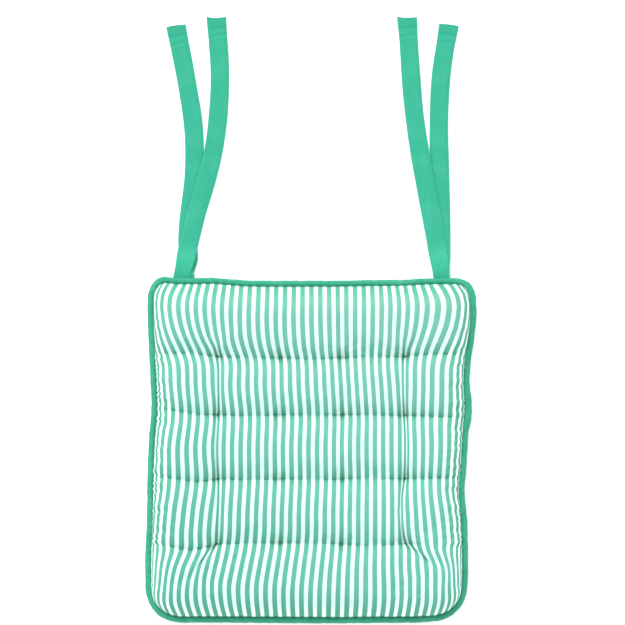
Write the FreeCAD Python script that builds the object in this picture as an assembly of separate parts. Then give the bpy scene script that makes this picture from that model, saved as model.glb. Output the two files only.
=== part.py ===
"""Tufted chair seat pad with piped edges and two pairs of fabric ties. Millimetres, +Z up, +Y to the ties.

The origin is the middle of the underside, which is flat. Every sub-part is a solid in its own STEP file.
"""
import FreeCAD, Part
import math
import os

V = FreeCAD.Vector

# Pad, over the piping
pad_width = 380.0
pad_length = 400.0
pad_height = 46.0
back_corner_radius = 28.0
front_corner_radius = 45.0
top_edge_radius = 22.0
bottom_edge_radius = 9.0

# Cover and edge seam
panel_thickness = 0.8
seam_height = 15.0
seam_allowance = 10.0
piping_diameter = 6.0
piping_wall = 0.6
flange_thickness = 1.0
piping_join_y = 25.0
piping_join_gap = 0.4
seam_thread_size = 0.5
seam_thread_setback = 0.5

# Tufting, by the lines that the tufts stand on: rows from the back, columns from the left
row_lines = [109.5, 41.5, -33.5, -109.5]
column_lines = [-105.0, -32.0, 41.0, 114.0]
crease_width = 48.0
crease_depth = 14.0
dimple_depth = 22.0
dimple_radius = 20.0
underside_dimple_depth = 2.5
underside_dimple_radius = 12.0
tack_seat_radius = 4.0
thread_diameter = 1.4
tack_length = 5.0
tack_width = 1.2
tack_height = 0.8

# Ties
tie_width = 22.0
tie_thickness = 1.0
tie_gap = 0.3
tie_drop_run = 34.0
tie_straight = 2.0
hinge_setback = 4.0
root_clearance = 0.1
stitch_width = 0.5
stitch_depth = 0.25
stitch_margin = 2.0
hem_depth = 9.0

# Each tie: its place across the back edge, how far it reaches past the hinge, and its sideways wander as
# (share of the reach, offset) from the place where it leaves the seam.
TIES = {
    "tie_left_lower": (-135.0, 293.0, [(0.12, -5.0), (0.42, 2.5), (0.58, 2.0), (0.78, -6.5), (1.0, -19.0)]),
    "tie_left_upper": (-148.0, 302.0, [(0.2, 15.0), (0.5, 39.0), (0.76, 45.6), (1.0, 41.5)]),
    "tie_right_lower": (157.0, 294.0, [(0.35, -1.5), (0.6, -3.3), (0.8, -0.5), (1.0, 8.5)]),
    "tie_right_upper": (157.0, 302.0, [(0.16, -8.0), (0.35, -19.0), (0.6, -31.0), (1.0, -40.6)]),
}

piping_radius = piping_diameter / 2
flange_bottom = seam_height - flange_thickness / 2
flange_top = seam_height + flange_thickness / 2
allowance_inset = piping_diameter + seam_allowance
hinge_y = pad_length / 2 + hinge_setback
stack_half = tie_thickness + tie_gap / 2
hinge_z = seam_height - piping_radius - root_clearance - stack_half
fold_gap = stack_half + 0.3
tie_drop = hinge_z - stack_half


def outline(inset, z):
    """Closed wire of the pad's rounded outline, moved inwards by inset."""
    half_width = pad_width / 2 - inset
    half_length = pad_length / 2 - inset
    corners = [(1, -1, front_corner_radius), (1, 1, back_corner_radius),
               (-1, 1, back_corner_radius), (-1, -1, front_corner_radius)]
    arcs = []
    for turn, (side_x, side_y, corner_radius) in enumerate(corners):
        radius = corner_radius - inset
        centre = V(side_x * (half_width - radius), side_y * (half_length - radius), z)
        places = []
        for step in (0, 45, 90):
            angle = math.radians(90 * (turn - 1) + step)
            places.append(centre + V(radius * math.cos(angle), radius * math.sin(angle), 0))
        arcs.append(places)
    edges = []
    for here, after in zip(arcs, arcs[1:] + arcs[:1]):
        edges.append(Part.Arc(*here).toShape())
        edges.append(Part.makeLine(here[2], after[0]))
    return Part.Wire(edges)


def slab(inset, low, high):
    """Plate with the pad's outline, from z = low to z = high."""
    return Part.Face(outline(inset, low)).extrude(V(0, 0, high - low))


def ring(outer_inset, inner_inset, low, high):
    """Flat ring that follows the pad's outline."""
    return slab(outer_inset, low, high).cut(slab(inner_inset, low, high))


def tube(radius):
    """Round bar that follows the piping's centre line."""
    path = outline(piping_radius, seam_height)
    start = V(pad_width / 2 - front_corner_radius, -pad_length / 2 + piping_radius, seam_height)
    section = Part.Wire(Part.makeCircle(radius, start, V(1, 0, 0)))
    return path.makePipeShell([section], True, True)


def across_pad(edges):
    """Prism along X over the whole width, from the edges of a closed outline in the YZ plane at x = 0."""
    face = Part.Face(Part.Wire(Part.__sortEdges__(edges)))
    face.translate(V(-pad_width, 0, 0))
    return face.extrude(V(2 * pad_width, 0, 0))


def crease_cutter(y, top):
    """Prism that leaves the rounded shoulders of two bolsters, with a sharp valley between them."""
    bottom = V(0, y, top - crease_depth)
    rim_z = top + crease_depth
    edges = []
    rims = []
    for side in (-1, 1):
        lip = V(0, y + side * crease_width / 2, top)
        middle = V(0, y + side * crease_width / 4, top - 0.3 * crease_depth)
        rim = V(0, lip.y, rim_z)
        edges.append(Part.Arc(bottom, middle, lip).toShape())
        edges.append(Part.makeLine(lip, rim))
        rims.append(rim)
    edges.append(Part.makeLine(rims[0], rims[1]))
    return across_pad(edges)


def dimple_cutter(x, y, top, wall):
    """Cone that pulls the top in round a tuft, with a small flat for the tack."""
    floor_z = top - dimple_depth
    slope = (dimple_radius - tack_seat_radius) / dimple_depth
    return Part.makeCone(tack_seat_radius + wall, dimple_radius + wall + slope * dimple_depth,
                         2 * dimple_depth, V(x, y, floor_z))


def underside_cutter(x, y, base, wall):
    """Shallow cone round a tuft on the underside."""
    return Part.makeCone(underside_dimple_radius + wall, tack_seat_radius + wall,
                         underside_dimple_depth, V(x, y, base))


def pad_body(wall):
    """The cushion inside the piping, with its faces moved inwards by wall."""
    top = pad_height - wall
    body = slab(piping_diameter + wall, wall, top)
    upper = [edge for edge in body.Edges if edge.BoundBox.ZMin > top - 0.01]
    body = body.makeFillet(top_edge_radius - wall, upper)
    lower = [edge for edge in body.Edges if edge.BoundBox.ZMax < wall + 0.01]
    body = body.makeFillet(bottom_edge_radius - wall, lower)
    cutters = [crease_cutter(y, top) for y in row_lines]
    for y in row_lines:
        for x in column_lines:
            cutters.append(dimple_cutter(x, y, top, wall))
            cutters.append(underside_cutter(x, y, wall, wall))
    return body.cut(cutters)


def tuft(x, y, with_tacks):
    """Thread through the pad at one tuft, with a flat tack at each end."""
    low = underside_dimple_depth
    high = pad_height - dimple_depth
    thread = Part.makeCylinder(thread_diameter / 2, high - low, V(x, y, low))
    if not with_tacks:
        return thread
    for base in (low - tack_height, high):
        corner = V(x - tack_length / 2, y - tack_width / 2, base)
        thread = thread.fuse(Part.makeBox(tack_length, tack_width, tack_height, corner))
    return thread.removeSplitter()


def piping_cover():
    """Bias strip: a tube round the piping cord with its two seam edges as one flange."""
    wall = tube(piping_radius).cut(tube(piping_radius - piping_wall))
    flange = ring(piping_diameter - piping_wall / 2, allowance_inset, flange_bottom, flange_top)
    core = tube(piping_radius - piping_wall / 2)
    return wall.fuse(flange.cut(core)).removeSplitter()


def piping_cord():
    """Cotton cord inside the piping, whose two ends meet at the side."""
    cord = tube(piping_radius - piping_wall)
    corner = V(pad_width / 2 - piping_diameter, piping_join_y, seam_height - piping_radius)
    return cord.cut(Part.makeBox(piping_diameter, piping_join_gap, piping_diameter, corner))


def seam_threads():
    """Needle thread above the seam allowances, and bobbin thread between them and the lower ties."""
    outer = piping_diameter + panel_thickness + seam_thread_setback
    inner = outer + seam_thread_size
    needle_low = flange_top + panel_thickness
    bobbin_low = flange_bottom - tie_thickness - tie_gap
    bobbin_high = flange_bottom - panel_thickness
    return [ring(outer, inner, needle_low, needle_low + seam_thread_size),
            ring(outer, inner, bobbin_low, bobbin_high)]


def tie_level(name):
    """Height of the underside of a tie where it leaves the seam."""
    if name.endswith("upper"):
        return hinge_z + tie_gap / 2
    return hinge_z - tie_gap / 2 - tie_thickness


def root_band(bottom, thickness, end_y):
    """Section of a tie's sewn end: flat under the piping flange, then down under the piping."""
    inner_y = pad_length / 2 - allowance_inset
    bend_y = pad_length / 2 - piping_diameter - 1.7
    under_y = pad_length / 2 - piping_diameter + 1.6
    rise = flange_bottom - (hinge_z + stack_half)
    line = [(inner_y, bottom + rise), (bend_y, bottom + rise), (under_y, bottom), (end_y, bottom)]
    corners = [V(0, y, z) for y, z in line] + [V(0, y, z + thickness) for y, z in reversed(line)]
    return across_pad(Part.makePolygon(corners + corners[:1]).Edges)


def root_box(name, end_y):
    """Straight prism over a tie's sewn end."""
    low_y = pad_length / 2 - allowance_inset
    corner = V(TIES[name][0] - tie_width / 2, low_y, 0)
    return Part.makeBox(tie_width, end_y - low_y, pad_height, corner)


def tie_root(name):
    """The sewn end of a tie, caught in the back seam."""
    end_y = hinge_y - fold_gap
    return root_band(tie_level(name), tie_thickness, end_y).common(root_box(name, end_y))


def root_seat(name):
    """The space that a tie's sewn end takes, with the gap to the tie next to it."""
    bottom = tie_level(name)
    if name.endswith("upper"):
        bottom -= tie_gap
    end_y = hinge_y - fold_gap
    return root_band(bottom, tie_thickness + tie_gap, end_y).common(root_box(name, end_y))


def free_band(bottom, thickness):
    """Section of a free tie: level at the hinge, an S down to the floor, then flat."""
    turn = 2 * math.atan2(tie_drop, tie_drop_run)
    radius = tie_drop_run / (2 * math.sin(turn))
    bend_y = hinge_y + tie_straight
    middle_y = bend_y + tie_drop_run / 2
    end_y = bend_y + tie_drop_run
    last_y = hinge_y + max(reach for _, reach, _ in TIES.values()) + tie_width
    half_turn = turn / 2
    bend_in = V(0, bend_y + radius * math.sin(half_turn), bottom - radius * (1 - math.cos(half_turn)))
    bend_out = V(0, end_y - radius * math.sin(half_turn),
                 bottom - tie_drop + radius * (1 - math.cos(half_turn)))
    start = V(0, hinge_y, bottom)
    crest = V(0, bend_y, bottom)
    middle = V(0, middle_y, bottom - tie_drop / 2)
    foot = V(0, end_y, bottom - tie_drop)
    last = V(0, last_y, bottom - tie_drop)
    under = [Part.makeLine(start, crest), Part.Arc(crest, bend_in, middle).toShape(),
             Part.Arc(middle, bend_out, foot).toShape(), Part.makeLine(foot, last)]
    up = V(0, 0, thickness)
    over = [edge.translated(up) for edge in under]
    ends = [Part.makeLine(start, start + up), Part.makeLine(last, last + up)]
    return across_pad(under + over + ends)


def tie_line(name):
    """Centre line of a free tie, seen from above."""
    root_x, reach, wander = TIES[name]
    points = [V(root_x, pad_length / 2, 0)]
    points += [V(root_x + offset, hinge_y + share * reach, 0) for share, offset in wander]
    line = Part.BSplineCurve()
    line.interpolate(points)
    return line


def strip(line, left, right, first, last):
    """Upright prism between two offsets of a centre line, over a stretch of its parameter."""
    sides = []
    for offset in (left, right):
        points = []
        for step in range(9):
            place = first + (last - first) * step / 8
            tangent = line.tangent(place)[0]
            points.append(line.value(place) + V(-tangent.y, tangent.x, 0) * offset)
        side = Part.BSplineCurve()
        side.interpolate(points)
        sides.append((side.toShape(), points))
    (left_edge, left_points), (right_edge, right_points) = sides
    ends = [Part.makeLine(left_points[0], right_points[0]), Part.makeLine(left_points[-1], right_points[-1])]
    face = Part.Face(Part.Wire(Part.__sortEdges__([left_edge, right_edge] + ends)))
    return face.extrude(V(0, 0, pad_height))


def tie_with_stitching(name):
    """A free tie and the thread of its edge stitching and hem, let into its upper face."""
    line = tie_line(name)
    first, last = line.FirstParameter, line.LastParameter
    hem = line.parameterAtDistance(-hem_depth, last)
    hem_edge = line.parameterAtDistance(-hem_depth - stitch_width, last)
    half = tie_width / 2
    bottom = tie_level(name)
    tie = strip(line, half, -half, first, last).common(free_band(bottom, tie_thickness))
    side = half - stitch_margin
    edge_row = strip(line, side, side - stitch_width, first, hem)
    hem_row = strip(line, side, -side, hem_edge, hem)
    layer = free_band(bottom + tie_thickness - stitch_depth, stitch_depth)
    stitching = edge_row.fuse(hem_row).common(layer).removeSplitter()
    return tie.cut(stitching), stitching


def split_cover(outer, inner):
    """Top and bottom panel, each with its seam allowance turned in beside the piping's flange."""
    shell = outer.cut(inner)
    above = slab(0, flange_top, pad_height + 1)
    below = slab(0, -1, flange_bottom)
    top_turn = ring(piping_diameter, allowance_inset, flange_top, flange_top + panel_thickness)
    bottom_turn = ring(piping_diameter, allowance_inset, flange_bottom - panel_thickness, flange_bottom)
    top_panel = shell.common(above).fuse(top_turn).removeSplitter()
    bottom_panel = shell.common(below).fuse(bottom_turn).removeSplitter()
    return top_panel, bottom_panel


def build():
    """Every node's solids by name."""
    inner = pad_body(panel_thickness)
    top_panel, bottom_panel = split_cover(pad_body(0), inner)
    threads = seam_threads()
    allowances = ring(piping_diameter, allowance_inset,
                      flange_bottom - panel_thickness, flange_top + panel_thickness)
    holes = [tuft(x, y, False) for y in row_lines for x in column_lines]
    seats = [root_seat(name) for name in TIES]
    nodes = {
        "top_panel": top_panel.cut(holes),
        "bottom_panel": bottom_panel.cut(holes + seats),
        "fibre_fill": inner.cut([allowances] + threads + holes + seats),
        "piping_cover": piping_cover(),
        "piping_cord": piping_cord(),
        "seam_thread": Part.makeCompound(threads),
    }
    for row, y in enumerate(row_lines, 1):
        for column, x in enumerate(column_lines, 1):
            nodes[f"tuft_r{row}_c{column}"] = tuft(x, y, True)
    for name in TIES:
        tie, stitching = tie_with_stitching(name)
        nodes[name] = tie
        nodes[name + "_stitching"] = stitching
        nodes[name + "_root"] = tie_root(name).cut(threads)
    return nodes


os.makedirs("parts", exist_ok=True)
for node, shape in build().items():
    box = shape.BoundBox
    print(f"{node:28} solids {len(shape.Solids)} valid {shape.isValid()} volume {shape.Volume:10.1f} "
          f"z {box.ZMin:6.2f} to {box.ZMax:6.2f}")
    shape.exportStep(f"parts/{node}.step")
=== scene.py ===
"""Tufted cotton seat pad with corded edge piping and two pairs of flat ties.

The frame is in metres, with +Z up and +Y towards the ties, and the pad rests on z = 0. Sizes below are in
millimetres unless they say otherwise, and MM turns them to metres where a mesh is made.
"""
import logging
import math
from collections.abc import Sequence
from dataclasses import dataclass, field
from enum import Enum

import bmesh
import bpy
import numpy as np
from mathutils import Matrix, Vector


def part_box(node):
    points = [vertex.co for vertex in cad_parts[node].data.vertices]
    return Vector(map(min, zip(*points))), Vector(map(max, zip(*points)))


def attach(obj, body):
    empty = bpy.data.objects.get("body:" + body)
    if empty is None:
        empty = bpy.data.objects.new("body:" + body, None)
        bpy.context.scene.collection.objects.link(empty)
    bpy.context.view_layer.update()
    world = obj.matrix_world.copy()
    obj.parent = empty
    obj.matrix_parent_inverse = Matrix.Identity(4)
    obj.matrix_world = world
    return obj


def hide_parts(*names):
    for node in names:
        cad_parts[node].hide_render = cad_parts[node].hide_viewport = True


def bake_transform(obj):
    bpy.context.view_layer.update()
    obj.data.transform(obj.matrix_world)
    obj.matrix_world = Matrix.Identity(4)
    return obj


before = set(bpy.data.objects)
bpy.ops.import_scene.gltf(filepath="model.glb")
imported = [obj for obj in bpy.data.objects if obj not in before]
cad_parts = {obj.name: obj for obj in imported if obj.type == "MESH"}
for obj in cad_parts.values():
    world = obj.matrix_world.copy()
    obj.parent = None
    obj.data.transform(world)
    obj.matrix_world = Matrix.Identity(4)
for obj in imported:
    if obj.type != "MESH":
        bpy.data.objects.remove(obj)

LOG = logging.getLogger("seat_pad")
MM = 0.001
SEAM_HEIGHT = 15.0
STRIPE_PITCH = 10.35
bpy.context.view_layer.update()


class Body(str, Enum):
    """The parts that move on their own."""

    PAD = "pad"
    LEFT_LOWER = "left_lower_tie"
    LEFT_UPPER = "left_upper_tie"
    RIGHT_LOWER = "right_lower_tie"
    RIGHT_UPPER = "right_upper_tie"


class Face(Enum):
    """The two covers of the pad."""

    TOP = 1
    BOTTOM = -1


# ---------------------------------------------------------------------------------------------- workbench


class Bench:
    """Hand operations on one piece at a time."""

    @staticmethod
    def clear() -> None:
        """Leave object mode with nothing selected."""
        if bpy.context.object and bpy.context.object.mode != "OBJECT":
            bpy.ops.object.mode_set(mode="OBJECT")
        bpy.ops.object.select_all(action="DESELECT")

    @staticmethod
    def pick(piece: bpy.types.Object) -> None:
        """Select one piece and make it active.

        Args:
            piece: the piece to work on.
        """
        Bench.clear()
        piece.select_set(True)
        bpy.context.view_layer.objects.active = piece

    @staticmethod
    def named(name: str) -> bpy.types.Object:
        """Name the piece just added.

        Args:
            name: name for the object and its mesh.

        Returns:
            The piece.
        """
        piece = bpy.context.object
        piece.name = name
        piece.data.name = name
        return piece

    @staticmethod
    def modify(piece: bpy.types.Object, kind: str, **settings: object) -> None:
        """Add one modifier, set it and apply it.

        Args:
            piece: the piece to finish.
            kind: the modifier's type.
            settings: its settings by name.
        """
        Bench.pick(piece)
        bpy.ops.object.modifier_add(type=kind)
        modifier = piece.modifiers[-1]
        for key, value in settings.items():
            setattr(modifier, key, value)
        bpy.ops.object.modifier_apply(modifier=modifier.name)

    @staticmethod
    def subdivide_surface(piece: bpy.types.Object) -> None:
        """Round the piece off with one applied level of subdivision surface."""
        Bench.modify(piece, "SUBSURF", levels=1, render_levels=1)

    @staticmethod
    def smooth(piece: bpy.types.Object, degrees: float = 50.0) -> None:
        """Shade smooth, with sharper edges than that many degrees left crisp."""
        Bench.pick(piece)
        bpy.ops.object.shade_smooth_by_angle(angle=math.radians(degrees))

    @staticmethod
    def points(piece: bpy.types.Object) -> np.ndarray:
        """Read where the vertices are.

        Args:
            piece: the piece to read.

        Returns:
            One row x, y, z per vertex, in metres.
        """
        flat = np.empty(len(piece.data.vertices) * 3)
        piece.data.vertices.foreach_get("co", flat)
        return flat.reshape(-1, 3)

    @staticmethod
    def place(piece: bpy.types.Object, points: np.ndarray) -> None:
        """Move all vertices to the given rows x, y, z in metres."""
        piece.data.vertices.foreach_set("co", points.ravel())
        piece.data.update()

    @staticmethod
    def outward(piece: bpy.types.Object) -> None:
        """Turn every face of a shell to face outwards.

        Args:
            piece: the shell, closed or open.
        """
        Bench.pick(piece)
        bpy.ops.object.mode_set(mode="EDIT")
        bpy.ops.mesh.select_all(action="SELECT")
        bpy.ops.mesh.normals_make_consistent(inside=False)
        bpy.ops.object.mode_set(mode="OBJECT")

    @staticmethod
    def turn_over(piece: bpy.types.Object) -> None:
        """Turn every face of an open shell the other way.

        Args:
            piece: the shell.
        """
        Bench.pick(piece)
        bpy.ops.object.mode_set(mode="EDIT")
        bpy.ops.mesh.select_all(action="SELECT")
        bpy.ops.mesh.flip_normals()
        bpy.ops.object.mode_set(mode="OBJECT")

    @staticmethod
    def loop_owners(piece: bpy.types.Object) -> np.ndarray:
        """Find the vertex of each face corner.

        Args:
            piece: the piece to read.

        Returns:
            One vertex number per face corner.
        """
        owners = np.empty(len(piece.data.loops), dtype=np.int32)
        piece.data.loops.foreach_get("vertex_index", owners)
        return owners

    @staticmethod
    def lay_map(piece: bpy.types.Object, across: np.ndarray, along: np.ndarray) -> None:
        """Give the piece a UV map in metres of cloth, from one value per vertex.

        Args:
            piece: the piece to map.
            across: position over the width of the cloth, in metres.
            along: position over its length, in metres.
        """
        mesh = piece.data
        layer = mesh.uv_layers.new(name="cloth") if not mesh.uv_layers else mesh.uv_layers[0]
        corner = Bench.loop_owners(piece)
        layer.data.foreach_set("uv", np.stack([across[corner], along[corner]], 1).ravel())

    @staticmethod
    def finish(piece: bpy.types.Object, material: bpy.types.Material, slot: str) -> None:
        """Put one material on the whole piece.

        Args:
            piece: the piece to dress.
            material: its material.
            slot: the material slot it stands for, not used.
        """
        piece.data.materials.clear()
        piece.data.materials.append(material)


def ease(value: np.ndarray, low: float, high: float) -> np.ndarray:
    """Smooth step from 0 at low to 1 at high."""
    share = np.clip((value - low) / (high - low), 0.0, 1.0)
    return share * share * (3.0 - 2.0 * share)


def wander(table: Sequence[tuple[float, float]], where: np.ndarray, spread: tuple[float, ...]) -> np.ndarray:
    """Read a table of places and moves, rounded off at its places."""
    places, moves = zip(*table)
    return sum(np.interp(where + shift, places, moves) for shift in spread) / len(spread)


def smooth_curve(at: np.ndarray, stops: np.ndarray, values: np.ndarray, slopes: np.ndarray) -> np.ndarray:
    """Run a smooth curve through given values, with a given slope at each.

    Args:
        at: where to read the curve.
        stops: the places of the given values, in order.
        values: the values there.
        slopes: the curve's slopes there.

    Returns:
        The curve's value at each place.
    """
    seat = np.clip(np.searchsorted(stops, at, side="right") - 1, 0, len(stops) - 2)
    span = stops[seat + 1] - stops[seat]
    t = np.clip((at - stops[seat]) / span, -1.0, 1.0)
    return ((2 * t ** 3 - 3 * t ** 2 + 1) * values[seat] + (t ** 3 - 2 * t ** 2 + t) * span * slopes[seat]
            + (3 * t ** 2 - 2 * t ** 3) * values[seat + 1] + (t ** 3 - t ** 2) * span * slopes[seat + 1])


# ----------------------------------------------------------------------------------------------- finishes


class Recipe:
    """Lays out the nodes of one procedural material."""

    def __init__(self, name: str, roughness: float, sheen: float,
                 sheen_colour: tuple[float, float, float]) -> None:
        """Start a material with a principled shader.

        Args:
            name: the material's name.
            roughness: roughness of the shader.
            sheen: weight of the soft cloth sheen.
            sheen_colour: linear colour of the sheen.
        """
        self.material = bpy.data.materials.new(name)
        self.material.use_nodes = True
        self.tree = self.material.node_tree
        self.shader = self.tree.nodes["Principled BSDF"]
        self.shader.inputs["Roughness"].default_value = roughness
        self.shader.inputs["Specular IOR Level"].default_value = 0.25
        self.shader.inputs["Sheen Weight"].default_value = sheen
        self.shader.inputs["Sheen Roughness"].default_value = 0.5
        self.shader.inputs["Sheen Tint"].default_value = (*sheen_colour, 1.0)

    def node(self, kind: str, **settings: object) -> bpy.types.Node:
        """Add a node and set its properties.

        Args:
            kind: the node's type.
            settings: its properties by name.

        Returns:
            The node.
        """
        made = self.tree.nodes.new(kind)
        for key, value in settings.items():
            setattr(made, key, value)
        return made

    def wire(self, source: bpy.types.NodeSocket, target: bpy.types.NodeSocket) -> None:
        """Link two sockets."""
        self.tree.links.new(source, target)

    def maths(self, operation: str, *values: object) -> bpy.types.NodeSocket:
        """One step of arithmetic on sockets and numbers.

        Args:
            operation: the Math node's operation.
            values: its inputs in order, each a socket or a number.

        Returns:
            The socket that holds the result.
        """
        step = self.node("ShaderNodeMath", operation=operation)
        for index, value in enumerate(values):
            if isinstance(value, bpy.types.NodeSocket):
                self.wire(value, step.inputs[index])
            else:
                step.inputs[index].default_value = value
        return step.outputs[0]

    def step_between(self, value: bpy.types.NodeSocket, low: float, high: float) -> bpy.types.NodeSocket:
        """Step smoothly from 0 to 1.

        Args:
            value: the value that the step depends on.
            low: where the step starts.
            high: where it ends, which may be less than low.

        Returns:
            The socket that holds the result.
        """
        step = self.node("ShaderNodeMapRange", interpolation_type="SMOOTHSTEP")
        self.wire(value, step.inputs["Value"])
        step.inputs["From Min"].default_value = low
        step.inputs["From Max"].default_value = high
        return step.outputs["Result"]

    def mix(self, share: object, first: object, second: object) -> bpy.types.NodeSocket:
        """Blend two colours.

        Args:
            share: share of the second colour, a socket or a number.
            first: the first colour, a socket or linear values.
            second: the second colour, likewise.

        Returns:
            The socket that holds the blend.
        """
        blend = self.node("ShaderNodeMix", data_type="RGBA")
        for socket, value in ((blend.inputs[0], share), (blend.inputs[6], first), (blend.inputs[7], second)):
            if isinstance(value, bpy.types.NodeSocket):
                self.wire(value, socket)
            elif isinstance(value, tuple):
                socket.default_value = (*value, 1.0)
            else:
                socket.default_value = value
        return blend.outputs[2]

    def noise(self, place: bpy.types.NodeSocket, scale: float, detail: float = 3.0) -> bpy.types.NodeSocket:
        """Add even noise about 0.5.

        Args:
            place: the position it depends on.
            scale: patches per metre.
            detail: how many finer layers it has.

        Returns:
            The socket that holds the noise.
        """
        grain = self.node("ShaderNodeTexNoise")
        grain.inputs["Scale"].default_value = scale
        grain.inputs["Detail"].default_value = detail
        self.wire(place, grain.inputs["Vector"])
        return grain.outputs["Fac"]

    def drift(self, place: bpy.types.NodeSocket, scale: float, detail: float,
              reach: float) -> bpy.types.NodeSocket:
        """Even noise about 0, over that reach."""
        return self.maths("MULTIPLY", self.maths("SUBTRACT", self.noise(place, scale, detail), 0.5), reach)

    def held(self, value: bpy.types.NodeSocket) -> bpy.types.NodeSocket:
        """A value held between 0 and 1."""
        return self.maths("MINIMUM", self.maths("MAXIMUM", value, 0.0), 1.0)

    def cloth_place(self) -> bpy.types.NodeSocket:
        """Position on the piece's own cloth map, in metres."""
        return self.node("ShaderNodeTexCoord").outputs["UV"]

    def space_place(self) -> bpy.types.NodeSocket:
        """Position in the pad's own space, in metres."""
        return self.node("ShaderNodeTexCoord").outputs["Object"]

    def axes(self, place: bpy.types.NodeSocket) -> list[bpy.types.NodeSocket]:
        """Split a position into its coordinates.

        Args:
            place: the position.

        Returns:
            The sockets of x, y and z.
        """
        split = self.node("ShaderNodeSeparateXYZ")
        self.wire(place, split.inputs[0])
        return list(split.outputs)

    def threads(self, along: bpy.types.NodeSocket, pitch: float) -> bpy.types.NodeSocket:
        """Rows of round threads from 0 in the gaps to 1 on the crests, that many metres apart."""
        wave = self.maths("SINE", self.maths("MULTIPLY", along, math.pi / pitch))
        return self.maths("ABSOLUTE", wave)

    def bump(self, height: bpy.types.NodeSocket, depth: float) -> None:
        """Raise the surface by a height map.

        Args:
            height: the height map, about 0 to 1.
            depth: how far it raises the surface, in metres.
        """
        relief = self.node("ShaderNodeBump")
        relief.inputs["Distance"].default_value = depth
        self.wire(height, relief.inputs["Height"])
        self.wire(relief.outputs["Normal"], self.shader.inputs["Normal"])

    def colour(self, value: bpy.types.NodeSocket) -> None:
        """Use a colour socket as the base colour."""
        self.wire(value, self.shader.inputs["Base Color"])


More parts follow.
